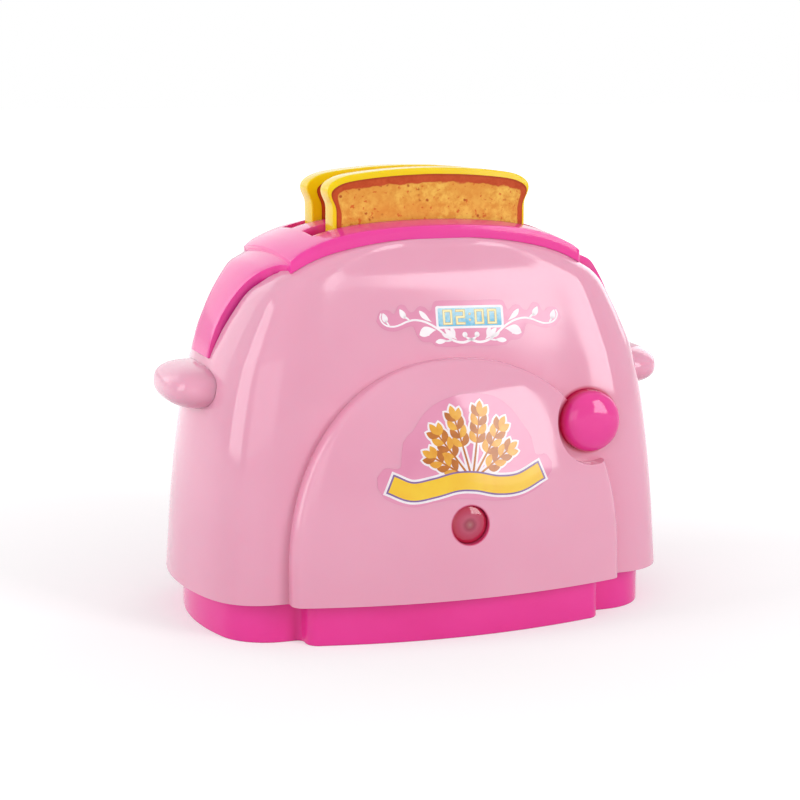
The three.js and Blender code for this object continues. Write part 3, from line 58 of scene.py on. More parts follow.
# height, half width, half depth and corner radius of the body shell
SHELL = np.array([
    (5, 50.5, 26.6, 11), (8.5, 50.3, 26.5, 11), (27, 48.8, 26.2, 11), (43, 46.6, 25.7, 11),
    (53, 44.2, 24.7, 10.4), (58, 42.1, 23.6, 9.6), (62.4, 39.9, 22.4, 8.6), (66.8, 37.3, 21.1, 7.4),
    (69, 35.1, 20.3, 6.4), (70.4, 32.9, 19.73, 6), (72.8, 28.6, 18.68, 6), (74.4, 23.8, 17.94, 6),
    (75.8, 16.6, 17.27, 6), (76.6, 8.6, 16.6, 6)])
SHELL_TOP = 76.6
SHELL_HOLLOW = 0.00087   # the flat front sinks by half of this times the square of its half width

# arch panel: a raised superellipse on the front and on the back
ARCH_HALF_WIDTH = 33.9
ARCH_CENTRE = 14
ARCH_TOP = 53.8
ARCH_POWER = 2.2
ARCH_EDGE = 1.8       # how far its edge is rounded
ARCH_TIGHTER = 0.62   # share that the rounding loses towards the top
ARCH_TIGHTER_FROM = 30
ARCH_BOW, ARCH_BOW_AT = 4.5, 32   # the face falls back by that much at that distance from the middle
ARCH_ROOT = 18        # how far from the toy's middle the panel's solid starts
# height and how far forward the panel's middle stands
ARCH = np.array([(5, 35), (8.6, 35), (24, 34.2), (38, 32.5), (47, 30), (54.5, 26)])

# saddle: a raised middle with two slots, and a strip down each shoulder
SADDLE_HALF_LENGTH = 30.2
SADDLE_HALF_DEPTH = 17
SADDLE_CORNER = 1.1
SADDLE_CROWN = 1.25
SADDLE_SOFT = 0.26    # its edges' rounding
# heights along the middle's ridge and along the strip's, and the strip's half width
SADDLE_RISE = np.array([(-14, 79.35), (0, 80), (14, 79.35), (22.2, 77.85), (28.3, 75.4), (30.3, 73.8)])
STRIP_RISE = np.array([(29, 73.6), (30.6, 72.9), (31.7, 72.4), (34.7, 70.9), (37.2, 68.4), (39.8, 64.7),
                       (42.1, 60.2), (43.4, 56.6), (44.4, 52)])
STRIP_PLAN = np.array([(29, 16.2), (30.2, 15.9), (31.7, 13), (34.7, 11.5), (37.2, 9.4), (39.8, 7.9),
                       (42, 6.9), (46, 6.5)])
STRIP_END = 53.4
STRIP_END_SLOPE = -4.6
STRIP_ROOT = 0.9      # how far its underside goes into the shell
SLOT_HALF_LENGTH = 23.9
SLOT_HALF_WIDTH = 3.4
SLOT_Y = 7

# button, its seat and the light window; fronts and backs are along Y
BUTTON_X, BUTTON_Z = 28, 40.2
BUTTON_RADIUS, BUTTON_EDGE, BUTTON_TIP, BUTTON_POWER = 6.1, -26.9, -30.2, 2.7
FLANGE_RADIUS, FLANGE_FRONT, FLANGE_BACK = 7.4, -22.9, -21.6
BOSS_RADIUS, BOSS_BACK = 1.9, -17
BUTTON_HOLE, SEAT_RADIUS, SEAT_FLOOR = 6.15, 8.3, -26.3
SEAT_WALL_RADIUS, SEAT_WALL_BACK = 10.1, -23.2
COIL_RADIUS, COIL_WIRE, COIL_TURNS = 3.4, 0.35, 4
COIL_FRONT, COIL_BACK = -20.93, -16.0   # the wire's middle at the flange and at the switch
LIGHT_Z = 22.9
LIGHT_HOLE, LENS_RADIUS, LENS_EDGE, LENS_TIP = 3.78, 3.72, -33.2, -33.9
LENS_RIM_RADIUS, LENS_RIM_FRONT, LENS_RIM_BACK = 5, -31.7, -30.9
LAMP_ROOM_RADIUS, LAMP_ROOM_EDGE, LAMP_ROOM_RISE = 2.8, -31.9, 0.7   # the hollow behind the lens
OUTSIDE = 60          # past any face of the toy

# the paper glows less near the toy, so the floor round it reads darker: a painted shade
FLOOR_GLOW = (0.4, 0.72)   # what the paper adds where it is seen: near the toy, and away from it
GLOW_REACH = (0.05, 0.3)   # the distances for these two, in metres
ROOM_LIGHT = 0.57          # the room's plain white light
LAMP_LEVEL = 0.045         # the height on the toy that the lamps' angles are seen from, in metres


# ---- small helpers
def through(table, at, column=1):
    """A value read from a few stations by a smooth curve through them."""
    xs, ys = table[:, 0], table[:, column]
    last = len(xs) - 1
    at = np.clip(np.asarray(at, float), xs[0], xs[last])
    i = np.clip(np.searchsorted(xs, at, side="left") - 1, 0, last - 1)
    before, after = np.maximum(np.arange(last + 1) - 1, 0), np.minimum(np.arange(last + 1) + 1, last)
    slope = (ys[after] - ys[before]) / (xs[after] - xs[before])
    span = xs[i + 1] - xs[i]
    u = (at - xs[i]) / span
    return ((1 + 2 * u) * (1 - u) ** 2 * ys[i] + u * (1 - u) ** 2 * span * slope[i]
            + u * u * (3 - 2 * u) * ys[i + 1] + u * u * (u - 1) * span * slope[i + 1])


def deselect():
    if bpy.context.object and bpy.context.object.mode != "OBJECT":
        bpy.ops.object.mode_set(mode="OBJECT")
    bpy.ops.object.select_all(action="DESELECT")


def choose(piece):
    deselect()
    piece.select_set(True)
    bpy.context.view_layer.objects.active = piece
    return piece


def named(name):
    """Names the active object and its mesh."""
    piece = bpy.context.object
    piece.name = name
    piece.data.name = name
    return piece


def placed(piece):
    """Puts the place, turn and size of a primitive into its mesh."""
    choose(piece)
    bpy.ops.object.transform_apply(location=True, rotation=True, scale=True)
    return piece


def held(name, data):
    """A new object in the scene."""
    made = bpy.data.objects.new(name, data)
    bpy.context.scene.collection.objects.link(made)
    return made


def mesh_piece(name, points, faces):
    """A piece from points in millimetres."""
    mesh = bpy.data.meshes.new(name)
    mesh.from_pydata([tuple(float(c) * MM for c in p) for p in points], [], faces)
    return outward(held(name, mesh))


def outward(piece):
    """Joins points that coincide, and turns all faces out."""
    choose(piece)
    bpy.ops.object.mode_set(mode="EDIT")
    bpy.ops.mesh.select_all(action="SELECT")
    bpy.ops.mesh.remove_doubles(threshold=0.001 * MM)
    bpy.ops.mesh.normals_make_consistent(inside=False)
    bpy.ops.object.mode_set(mode="OBJECT")
    return piece


def lofted(name, rings):
    """A closed skin over rings of equally many points, flat at both ends."""
    count = len(rings[0])
    points = [p for ring in rings for p in ring]
    faces = []
    for r in range(len(rings) - 1):
        for i in range(count):
            a, b = r * count + i, r * count + (i + 1) % count
            faces.append((a, b, b + count, a + count))
    faces.append(tuple(range(count))[::-1])
    faces.append(tuple((len(rings) - 1) * count + i for i in range(count)))
    return mesh_piece(name, points, faces)


def block(name, low, high):
    low, high = Vector(low) * MM, Vector(high) * MM
    deselect()
    bpy.ops.mesh.primitive_cube_add(size=1, location=(low + high) / 2, scale=high - low)
    return placed(named(name))


def rod(name, axis, radius, start, end, centre, sides=64):
    """A round bar along Y or Z; centre holds the two other places."""
    along = (start + end) / 2
    middle, turn = {"y": ((centre[0], along, centre[1]), math.pi / 2), "z": ((*centre, along), 0)}[axis]
    deselect()
    bpy.ops.mesh.primitive_cylinder_add(vertices=sides, radius=radius * MM, depth=(end - start) * MM,
                                        location=Vector(middle) * MM, rotation=(turn, 0, 0))
    return placed(named(name))


def modified(piece, kind, **settings):
    """A modifier with its settings, applied at once."""
    choose(piece)
    step = piece.modifiers.new(kind.lower(), kind)
    for key, value in settings.items():
        setattr(step, key, value)
    bpy.ops.object.modifier_apply(modifier=step.name)
    return piece


def boolean(piece, tool, operation):
    """Joins, cuts or keeps with another solid, which is used up."""
    modified(piece, "BOOLEAN", operation=operation, object=tool, solver="EXACT")
    bpy.data.objects.remove(tool)
    return piece


def cut(piece, *tools):
    for tool in tools:
        boolean(piece, tool, "DIFFERENCE")
    return piece


def join(piece, *tools):
    for tool in tools:
        boolean(piece, tool, "UNION")
    return piece


def keep(piece, tool):
    return boolean(piece, tool, "INTERSECT")


def soften(piece, width, segments, angle):
    """Rounds each edge sharper than an angle."""
    return modified(piece, "BEVEL", width=width * MM, segments=segments, limit_method="ANGLE",
                    angle_limit=math.radians(angle), use_clamp_overlap=True, harden_normals=False)


def satin(piece, angle):
    """Smooth shading, but for edges sharper than an angle."""
    choose(piece)
    bpy.ops.object.shade_smooth_by_angle(angle=math.radians(angle), keep_sharp_edges=False)
    return piece


def finish(piece, material, slot, body, *nodes):
    """Gives a piece its material and body, and hides the CAD nodes that it stands for. The slot is not
    used.
    """
    piece.data.materials.clear()
    piece.data.materials.append(material)
    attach(piece, body)
    for cad_node in nodes:
        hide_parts(cad_node)
    return piece


def sheet(name, patches, skin, low, high):
    """Thin closed pieces that follow a skin; each patch is rows of (x, z), all of one length."""
    points, faces = [], []
    for rows in patches:
        start, down, across = len(points), len(rows), len(rows[0])
        under = down * across
        for lift in (high, low):
            points += [skin(x, z, lift) for row in rows for x, z in row]

        def at(r, c):
            return start + r * across + c

        for r in range(down - 1):
            for c in range(across - 1):
                quad = (at(r, c), at(r, c + 1), at(r + 1, c + 1), at(r + 1, c))
                faces += [quad, tuple(i + under for i in quad[::-1])]
        rim = [at(0, c) for c in range(across)] + [at(r, across - 1) for r in range(1, down)]
        rim += [at(down - 1, c) for c in range(across - 2, -1, -1)]
        rim += [at(r, 0) for r in range(down - 2, 0, -1)]
        faces += [(b, a, a + under, b + under) for a, b in zip(rim, rim[1:] + rim[:1])]
    return mesh_piece(name, points, faces)


def line_through(points, steps=8):
    """A smooth line through a few points."""
    p = np.array(points, float)
    p = np.vstack([2 * p[0] - p[1], p, 2 * p[-1] - p[-2]])
    t = np.linspace(0, 1, steps + 1)[:-1, None]
    parts = [0.5 * (2 * b + (c - a) * t + (2 * a - 5 * b + 4 * c - d) * t ** 2
                    + (3 * b - a - 3 * c + d) * t ** 3) for a, b, c, d in zip(p, p[1:], p[2:], p[3:])]
    return np.vstack([*parts, p[-2:-1]])


def stroke(points, start_width, end_width=None, steps=8, grow=0.0):
    """Rows across a smooth line, from one width to another."""
    line = line_through(points, steps)
    along = np.gradient(line, axis=0)
    across = np.c_[-along[:, 1], along[:, 0]] / np.linalg.norm(along, axis=1)[:, None]
    end_width = start_width if end_width is None else end_width
    half = np.linspace(start_width, end_width, len(line)) / 2 + grow
    for end, way in ((0, -1), (-1, 1)):
        line[end] += way * grow * along[end] / np.linalg.norm(along[end])
    return [[tuple(q - n * h), tuple(q), tuple(q + n * h)] for q, n, h in zip(line, across, half)]


def leaf(base, tip, width, full=0.5, bend=0.0, steps=12, grow=0.0):
    """An almond from its base to its tip, widest at a share of its length."""
    base, tip = np.array(base, float), np.array(tip, float)
    axis = tip - base
    length = np.linalg.norm(axis)
    axis /= length
    side = np.array([-axis[1], axis[0]])
    rows = []
    for t in np.linspace(0, 1, steps + 1):
        half = (width / 2 + grow) * math.sin(math.pi * t ** (math.log(0.5) / math.log(full))) ** 0.8
        middle = base + axis * (t * (length + 2 * grow) - grow) + side * bend * 4 * t * (1 - t)
        rows.append([tuple(middle - side * half), tuple(middle), tuple(middle + side * half)])
    return rows


def disc(centre, radius, steps=12, grow=0.0):
    radius += grow
    x, z = centre
    return [[(x + k * radius * math.cos(a), z + radius * math.sin(a)) for k in (-1, 0, 1)]
            for a in np.linspace(-math.pi / 2, math.pi / 2, steps + 1)]


def rounded(half_x, half_z, corner):
    """A rectangle with round corners, in rows from its foot to its top."""
    rise = [(half_x - corner + corner * math.sin(a), half_z - corner + corner * math.cos(a))
            for a in np.linspace(0, math.pi / 2, 7)]
    levels = [(x, -z) for x, z in rise] + rise[::-1]
    return [[(k * x, z) for k in np.linspace(-1, 1, 9)] for x, z in levels]


def spanned(xs, foot, top, across, mirrored=False):
    """Rows over x between a lower and an upper line, each given as a table, or by its right half."""
    at = [abs(x) if mirrored else x for x in xs]
    return [[(x, z) for z in np.linspace(float(through(foot, a)), float(through(top, a)), across)]
            for x, a in zip(xs, at)]


def moved(rows, by=(0, 0), flip=1, turn=0.0):
    """Rows mirrored, turned and moved in the plane of the print."""
    c, s = math.cos(turn), math.sin(turn)
    return [[(by[0] + flip * x * c - z * s, by[1] + flip * x * s + z * c) for x, z in row]
            for row in rows]


# ---- materials
def linear(hexa):
    """An sRGB hex colour as linear values."""
    parts = [int(hexa[i:i + 2], 16) / 255 for i in (1, 3, 5)]
    return (*[p / 12.92 if p <= 0.04045 else ((p + 0.055) / 1.055) ** 2.4 for p in parts], 1.0)


def add(tree, kind, links=(), out=0, **settings):
    """A node with its settings; links gives sockets or values for its inputs, in order or by name.
    Returns one of its outputs."""
    made = tree.nodes.new("ShaderNode" + kind)
    for key, value in settings.items():
        setattr(made, key, value)
    for key, value in (links.items() if isinstance(links, dict) else enumerate(links)):
        socket = made.inputs[key]
        if isinstance(value, bpy.types.NodeSocket):
            tree.links.new(value, socket)
        else:
            socket.default_value = value
    return made.outputs[out] if made.outputs else made


def material(name, **values):
    """A material with its node tree, its shader, and the place on the object as a socket."""
    made = bpy.data.materials.new(name)
    made.use_nodes = True
    tree = made.node_tree
    shader = tree.nodes["Principled BSDF"]
    for key, value in values.items():
        shader.inputs[key.replace("_", " ")].default_value = value
    return made, tree, shader, add(tree, "TexCoord", out="Object")


def per_mm(size):
    """Noise scale on Object coordinates, in metres, for a pattern of that size in millimetres."""
    return 1 / (size * MM)


def off_line(tree, where, centre):
    """How far a place lies from the line along Y through the centre, in metres."""
    apart = add(tree, "VectorMath", (where, (centre[0] * MM, 0, centre[1] * MM)), operation="SUBTRACT")
    flat = add(tree, "VectorMath", (apart, (1, 0, 1)), operation="MULTIPLY")
    return add(tree, "VectorMath", (flat,), "Value", operation="LENGTH")


def clouds(tree, where, size, detail, low, high, to_low=0, to_high=1, rough=0.5):
    """A mottle of a grain size in millimetres, with one span of its values spread over another."""
    mottle = add(tree, "TexNoise", {"Vector": where, "Scale": per_mm(size), "Detail": detail,
                                    "Roughness": rough})
    return add(tree, "MapRange", (mottle, low, high, to_low, to_high))


def layered(tree, under, *layers):
    """Colours laid over one another, each by its share; a colour is a hex value or a socket."""
    for share, over in layers:
        a, b = (linear(colour) if isinstance(colour, str) else colour for colour in (under, over))
        under = add(tree, "Mix", {0: share, 6: a, 7: b}, 2, data_type="RGBA")   # its colour sockets
    return under


def grained(tree, shader, where, size, strength, depth):
    """A faint bump of a grain size and a depth in millimetres."""
    skin = add(tree, "TexNoise", {"Vector": where, "Scale": per_mm(size), "Detail": 2})
    bump = add(tree, "Bump", {"Height": skin, "Strength": strength, "Distance": depth * MM})
    tree.links.new(bump, shader.inputs["Normal"])


def painted_light_over(made, share_of, tone):
    """Lays painted light or shade over a material's own colour, by a share worked out from the place."""
    tree = made.node_tree
    base = tree.nodes["Principled BSDF"].inputs["Base Color"]
    share = share_of(tree, add(tree, "TexCoord", out="Object"))
    tree.links.new(layered(tree, base.links[0].from_socket, (share, tone)), base)


def painted_foot_shade(made, start, end, tone):
    """The cap's colour deepens towards the back: painted shade at its foot, where it sits in its seat."""
    def share_of(tree, where):
        along = add(tree, "SeparateXYZ", (where,), "Y")
        return add(tree, "MapRange", (along, start * MM, end * MM, 0, 1))

    painted_light_over(made, share_of, tone)


def painted_red_bounce(made, centre, start, end, tone):
    """Painted red bounce light on the front's pale plastic round a round part, from one radius to another,
    where the part's colour would light the shaded seat or hole wall.
    """
    def share_of(tree, where):
        near = add(tree, "MapRange", (off_line(tree, where, centre), start * MM, end * MM, 1, 0))
        front = add(tree, "Math", (add(tree, "SeparateXYZ", (where,), "Y"), 0.0), operation="LESS_THAN")
        return add(tree, "Math", (near, front), operation="MULTIPLY")

    painted_light_over(made, share_of, tone)


def moulded(name, tone, deep, gloss, wave=9.0, peel=0.02, speck=None, milky=0.0, **values):
    """Injection-moulded plastic: slow colour drift, fine handling marks in the gloss, a faint peel.
    A milky plastic lets some light pass under its skin, which keeps its gaps warm."""
    made, tree, shader, where = material(name, IOR=1.5, Subsurface_Weight=milky, Subsurface_Scale=1.6 * MM,
                                         Subsurface_Radius=(1.0, 0.45, 0.6), **values)
    colour = layered(tree, deep, (clouds(tree, where, wave, 3, 0.3, 0.7), tone))
    if speck:
        size, radius, dust = speck
        dots = add(tree, "TexVoronoi", {"Vector": where, "Scale": per_mm(size)}, "Distance")
        near = add(tree, "MapRange", (dots, 0.0, radius, 1, 0))
        odd = clouds(tree, where, size * 1.7, 2, 0.6, 0.64)
        colour = layered(tree, colour, (add(tree, "Math", (near, odd), operation="MULTIPLY"), dust))
    tree.links.new(colour, shader.inputs["Base Color"])
    tree.links.new(clouds(tree, where, 3.2, 5, 0.3, 0.75, *gloss, 0.6), shader.inputs["Roughness"])
    grained(tree, shader, where, 1.4, 0.25, peel)
    return made


# ABS, injection moulded and polished: light pink, even, with a soft bright gloss and stray specks
PINK = moulded("light_pink_abs", "#EDA8C1", "#EBA2BC", (0.055, 0.1), wave=26, peel=0.006,
               speck=(6.0, 0.018, "#C9809F"), milky=0.35)
# the same plastic in magenta: deeper colour, so the gloss shows more
MAGENTA = moulded("magenta_abs", "#F642A6", "#F03A9C", (0.07, 0.14), wave=20, peel=0.006, milky=0.2,
                  Specular_IOR_Level=0.38)
# polystyrene liner of the slots: deep crimson, satin from its mould
CRIMSON = moulded("crimson_polystyrene", "#F0285A", "#E42250", (0.36, 0.5), wave=12, peel=0.03,
                  milky=0.2)
# ABS slices: warm yellow, polished
YELLOW = moulded("yellow_abs", "#FADA14", "#F6D00E", (0.12, 0.2), wave=14, peel=0.01, milky=0.15,
                 Specular_IOR_Level=0.2)
# magenta button: same plastic as the base, polished more by touch
BUTTON_PINK = moulded("polished_magenta_abs", "#F23C9E", "#EC3496", (0.05, 0.1), wave=8, peel=0.005,
                      milky=0.2)


def plated(name, tone, gloss):
    """Zinc-plated steel: grey metal with a fine turned grain and slight tarnish."""
    made, tree, shader, where = material(name, Metallic=1.0)
    colour = layered(tree, tone[0], (clouds(tree, where, 0.9, 4, 0.35, 0.7, rough=0.6), tone[1]))
    tree.links.new(colour, shader.inputs["Base Color"])
    tree.links.new(clouds(tree, where, 0.9, 4, 0.3, 0.7, *gloss, 0.6), shader.inputs["Roughness"])
    grained(tree, shader, where, 0.25, 0.2, 0.01)
    return made


STEEL = plated("zinc_plated_steel", ("#B9BBBE", "#A5A7AB"), (0.25, 0.42))
CELL_STEEL = plated("nickel_plated_steel", ("#CFCDC8", "#BDBBB6"), (0.18, 0.32))
BLACK = moulded("black_nylon", "#262628", "#1E1E20", (0.45, 0.6), wave=4, peel=0.03)
WHITE = moulded("white_acetal", "#ECECE8", "#E2E2DE", (0.35, 0.5), wave=4, peel=0.02)
BOARD_GREEN = moulded("green_solder_mask", "#3F7E4C", "#35703F", (0.25, 0.4), wave=3, peel=0.03)
RED_PVC = moulded("red_pvc_sleeve", "#C62C2A", "#B42422", (0.35, 0.5), wave=3, peel=0.03)
BLACK_PVC = moulded("black_pvc_sleeve", "#2A2A2C", "#202022", (0.35, 0.5), wave=3, peel=0.03)


# ---- body shell
def quarter(z, inset, side_steps=8, corner_steps=16, front_steps=8, fuller=0.0):
    """From the side's middle round the corner to the front's middle."""
    width, depth, corner = (float(through(SHELL, z + inset, c)) for c in (1, 2, 3))
    width, depth, corner = width - inset, depth - inset, max(corner - inset, 1) + fuller
    side = SIDE_RADIUS - inset
    turn = math.asin((depth - corner) / (side - corner))
    side_x = width - side
    corner_x = side_x + (side - corner) * math.cos(turn)
    points = [(side_x + side * math.cos(a), side * math.sin(a))
              for a in np.linspace(0, turn, side_steps + 1)]
    points += [(corner_x + corner * math.cos(a), depth - corner + corner * math.sin(a))
               for a in np.linspace(turn, math.pi / 2, corner_steps + 1)[1:]]
    points += [(x, depth) for x in np.linspace(corner_x, 0, front_steps + 1)[1:]]
    return points


def all_round(part):
    """The whole plan from that quarter of it."""
    back = part[::-1]
    return (part[:-1] + [(-x, y) for x, y in back][:-1] + [(-x, -y) for x, y in part][:-1]
            + [(x, -y) for x, y in back][:-1])


def sunk(x, z):
    """How far the flat front and rear sink in at a place."""
    flat = through(SHELL, z, 1) - through(SHELL, z, 3) - 1
    return SHELL_HOLLOW / 2 * np.maximum(flat ** 2 - np.asarray(x) ** 2, 0)


def shell_ring(z, inset, count):
    """The body's plan at a height, eased so that its flat front runs into the corners without a kink."""
    ring = np.array(all_round(quarter(z, inset)))
    closed = np.vstack([ring, ring[:1]])
    run = np.r_[0, np.cumsum(np.linalg.norm(np.diff(closed, axis=0), axis=1))]
    at = np.linspace(0, run[-1], count, endpoint=False)
    even = np.c_[np.interp(at, run, closed[:, 0]), np.interp(at, run, closed[:, 1])]
    ease = EASE_SHARE * float(through(SHELL, z, 3))
    wave = np.fft.fftfreq(count, run[-1] / count)
    once = np.exp(-2 * (math.pi * ease * wave[:, None]) ** 2)
    soft = np.fft.ifft(np.fft.fft(even, axis=0) * once * (2 - once), axis=0).real
    return [(x, y - math.copysign(float(sunk(x, z)), y), z) for x, y in soft]


def loaf(name, inset=0.0, foot=RIM, fine=True):
    """The body's outside without the arch panels, drawn in by an inset."""
    top = SHELL_TOP - inset
    bands = ((60, 44), (72, 30), (top, 22)) if fine else ((60, 14), (top, 14))
    heights = [foot]
    for reach, count in bands:
        heights += [*np.linspace(heights[-1], reach, count)[1:]]
    return lofted(name, [shell_ring(z, inset, 256 if fine else 64) for z in heights])


def inside_loaf(x, y, z):
    """Which points lie inside the body's outside."""
    x, y, z = np.abs(x), np.abs(y), np.asarray(z, float)
    width, depth, corner = (through(SHELL, z, c) for c in (1, 2, 3))
    turn = np.arcsin((depth - corner) / (SIDE_RADIUS - corner))
    side_x = width - SIDE_RADIUS
    corner_x = side_x + (SIDE_RADIUS - corner) * np.cos(turn)
    angle = np.arctan2(y - (depth - corner), x - corner_x)
    in_corner = (x > corner_x) & (y > depth - corner) & (angle > turn)
    near = np.hypot(x - corner_x, y - (depth - corner)) <= corner
    on_side = np.hypot(x - side_x, y) <= SIDE_RADIUS
    return (y <= depth) & on_side & (~in_corner | near) & (z <= SHELL_TOP)


def loaf_top(x, y):
    """Height of the body's outside over a place in plan."""
    low, high = np.full(np.shape(x), RIM, float), np.full(np.shape(x), SHELL_TOP, float)
    for _ in range(24):
        middle = (low + high) / 2
        inside = inside_loaf(x, y, middle)
        low, high = np.where(inside, middle, low), np.where(inside, high, middle)
    return low


def arch_front(x, z, inset=0.0):
    """Where the arch panel's face lies along Y."""
    return -(through(ARCH, z) - ARCH_BOW * np.asarray(x) ** 2 / ARCH_BOW_AT ** 2 - inset)


def arch_line(inset, foot, steps):
    """The arch panel's outline, from its left foot over the top to its right foot."""
    half, height = ARCH_HALF_WIDTH - inset, ARCH_TOP - inset - ARCH_CENTRE
    turn = np.linspace(math.pi, 0, steps + 1)
    x = np.sign(np.cos(turn)) * half * np.abs(np.cos(turn)) ** (2 / ARCH_POWER)
    z = ARCH_CENTRE + height * np.abs(np.sin(turn)) ** (2 / ARCH_POWER)
    return np.r_[-half, x, half], np.r_[foot, z, foot]


def arch(name, inset=0.0, foot=RIM, steps=96, edge=6, fills=18, side=-1):
    """One arch panel as a solid that reaches back into the body."""
    (x0, z0), (x1, z1) = arch_line(inset, foot, steps), arch_line(inset + ARCH_EDGE, foot, steps)
    rows = [(x0, z0, None)]
    high = np.clip((z0 - ARCH_TIGHTER_FROM) / (ARCH_TOP - inset - ARCH_TIGHTER_FROM), 0, 1)
    round_share = 1 - ARCH_TIGHTER * high * high * (3 - 2 * high)
    for angle in np.linspace(0, math.pi / 2, edge + 1):
        step = round_share * (1 - math.cos(angle))
        x, z = x0 + (x1 - x0) * step, z0 + (z1 - z0) * step
        rows.append((x, z, ARCH_EDGE * round_share * (1 - math.sin(angle))))
    for share in np.linspace(1, 0, fills + 1)[1:-1]:
        rows.append((x * share, foot + (z - foot) * share, 0))
    count = len(rows[0][0])
    points = []
    for x, z, drop in rows:
        y = np.full(count, -float(ARCH_ROOT)) if drop is None else arch_front(x, z, inset) + drop
        points += list(zip(x, -side * y, z))
    faces = []
    for r in range(len(rows) - 1):
        for i in range(count - 1):
            a = r * count + i
            faces.append((a, a + count, a + count + 1, a + 1))
    tip = len(points)
    points.append((0, -side * float(arch_front(0, foot, inset)), foot))
    face = (len(rows) - 1) * count
    faces += [(face + i, tip, face + i + 1) for i in range(count - 1)]
    faces.append(tuple(range(count)))
    left = [r * count for r in range(len(rows))]
    right = [r * count + count - 1 for r in range(len(rows))][::-1]
    faces.append(tuple([*left, tip, *right])[::-1])
    return mesh_piece(name, points, faces)


def saddle_plan(name, grow, low, high):
    """A prism over the saddle's strips, grown by a gap."""
    xs = np.linspace(STRIP_PLAN[2, 0], STRIP_PLAN[-1, 0], 24)
    halves = through(STRIP_PLAN, xs) + grow
    xs, halves = np.r_[SADDLE_HALF_LENGTH - 4, xs, OUTSIDE], np.r_[halves[0], halves, halves[-1]]
    pieces = []
    for side in (-1, 1):
        outline = [(side * x, -h) for x, h in zip(xs, halves)]
        outline += [(x, -y) for x, y in outline[::-1]]
        pieces.append(lofted(name, [[(x, y, z) for x, y in outline] for z in (low, high)]))
    return pieces


MOUTH_MARGIN = 2.3     # how far the body's open top ends inside the saddle's middle
SKIN_OVER_SEAT = 0.3   # the seat's wall stays that far under the body's outside


def body_shell():
    shell = join(loaf("shell_moulding"), arch("front_panel"), arch("rear_panel", side=1))
    foot = RIM - 2
    hollow = join(loaf("hollow", SHELL_WALL, foot, fine=False),
                  *[arch(name, SHELL_WALL, foot, 28, 1, 3, side)
                    for name, side in (("front_hollow", -1), ("rear_hollow", 1))])
    cut(shell, hollow)
    at_button = (BUTTON_X, BUTTON_Z)
    seat_wall = keep(rod("seat_wall", "y", SEAT_WALL_RADIUS, -OUTSIDE, SEAT_WALL_BACK, at_button),
                     join(loaf("limit", SKIN_OVER_SEAT), arch("limit_panel", SKIN_OVER_SEAT)))
    join(shell, seat_wall)
    length, depth = SADDLE_HALF_LENGTH - MOUTH_MARGIN, SADDLE_HALF_DEPTH - MOUTH_MARGIN
    cut(shell, block("mouth", (-length, -depth, 60), (length, depth, 90)),
        *saddle_plan("strip_mouth", FIT, STRIP_END - FIT, 90),
        rod("seat", "y", SEAT_RADIUS, -OUTSIDE, SEAT_FLOOR, at_button, 96),
        rod("button_hole", "y", BUTTON_HOLE, -OUTSIDE, -12, at_button, 96),
        rod("light_hole", "y", LIGHT_HOLE, -OUTSIDE, -28, (0, LIGHT_Z), 96))
    return shell


shell = satin(body_shell(), 32)
# painted red bounce light in the shaded seat round the button, and on the light window's shaded hole wall
painted_red_bounce(PINK, (BUTTON_X, BUTTON_Z), 6.2, 6.9, "#D0165A")
painted_red_bounce(PINK, (0, LIGHT_Z), 3.85, 4.1, "#D24A78")
finish(shell, PINK, "pink_plastic", "toaster", "body_shell")


# ---- top saddle
def saddle_middle():
    """The raised middle: cross-sections along X with a crowned top that lies on the shell's shoulder."""
    length, depth = SADDLE_HALF_LENGTH, SADDLE_HALF_DEPTH
    half = np.array([2, 5.4, 8.6, 12.4, 14, 15.6, depth])
    y_lines = np.r_[-half[::-1], 0, half]
    rings = []
    for x in np.r_[-length, np.linspace(0.8 - length, length - 0.8, 50), length]:
        top = through(SADDLE_RISE, abs(x)) - SADDLE_CROWN * y_lines ** 2 / depth ** 2
        under = np.minimum(loaf_top(np.full(len(y_lines), x), y_lines) + FIT, top - 0.5)
        rings.append([(x, y, z) for y, z in zip(y_lines, top)]
                     + [(x, y, z) for y, z in zip(y_lines, under)][::-1])
    piece = choose(lofted("saddle_moulding", rings))
    bpy.ops.object.mode_set(mode="EDIT")
    bpy.ops.mesh.select_all(action="DESELECT")
    edit = bmesh.from_edit_mesh(piece.data)
    for edge in edit.edges:
        ends = [v.co / MM for v in edge.verts]
        edge.select = all(abs(abs(e.x) - length) < 0.01 and abs(abs(e.y) - depth) < 0.01 for e in ends)
    edit.select_flush_mode()
    bmesh.update_edit_mesh(piece.data)
    bpy.ops.mesh.bevel(offset=SADDLE_CORNER * MM, segments=6, affect="EDGES")
    bpy.ops.object.mode_set(mode="OBJECT")
    return piece


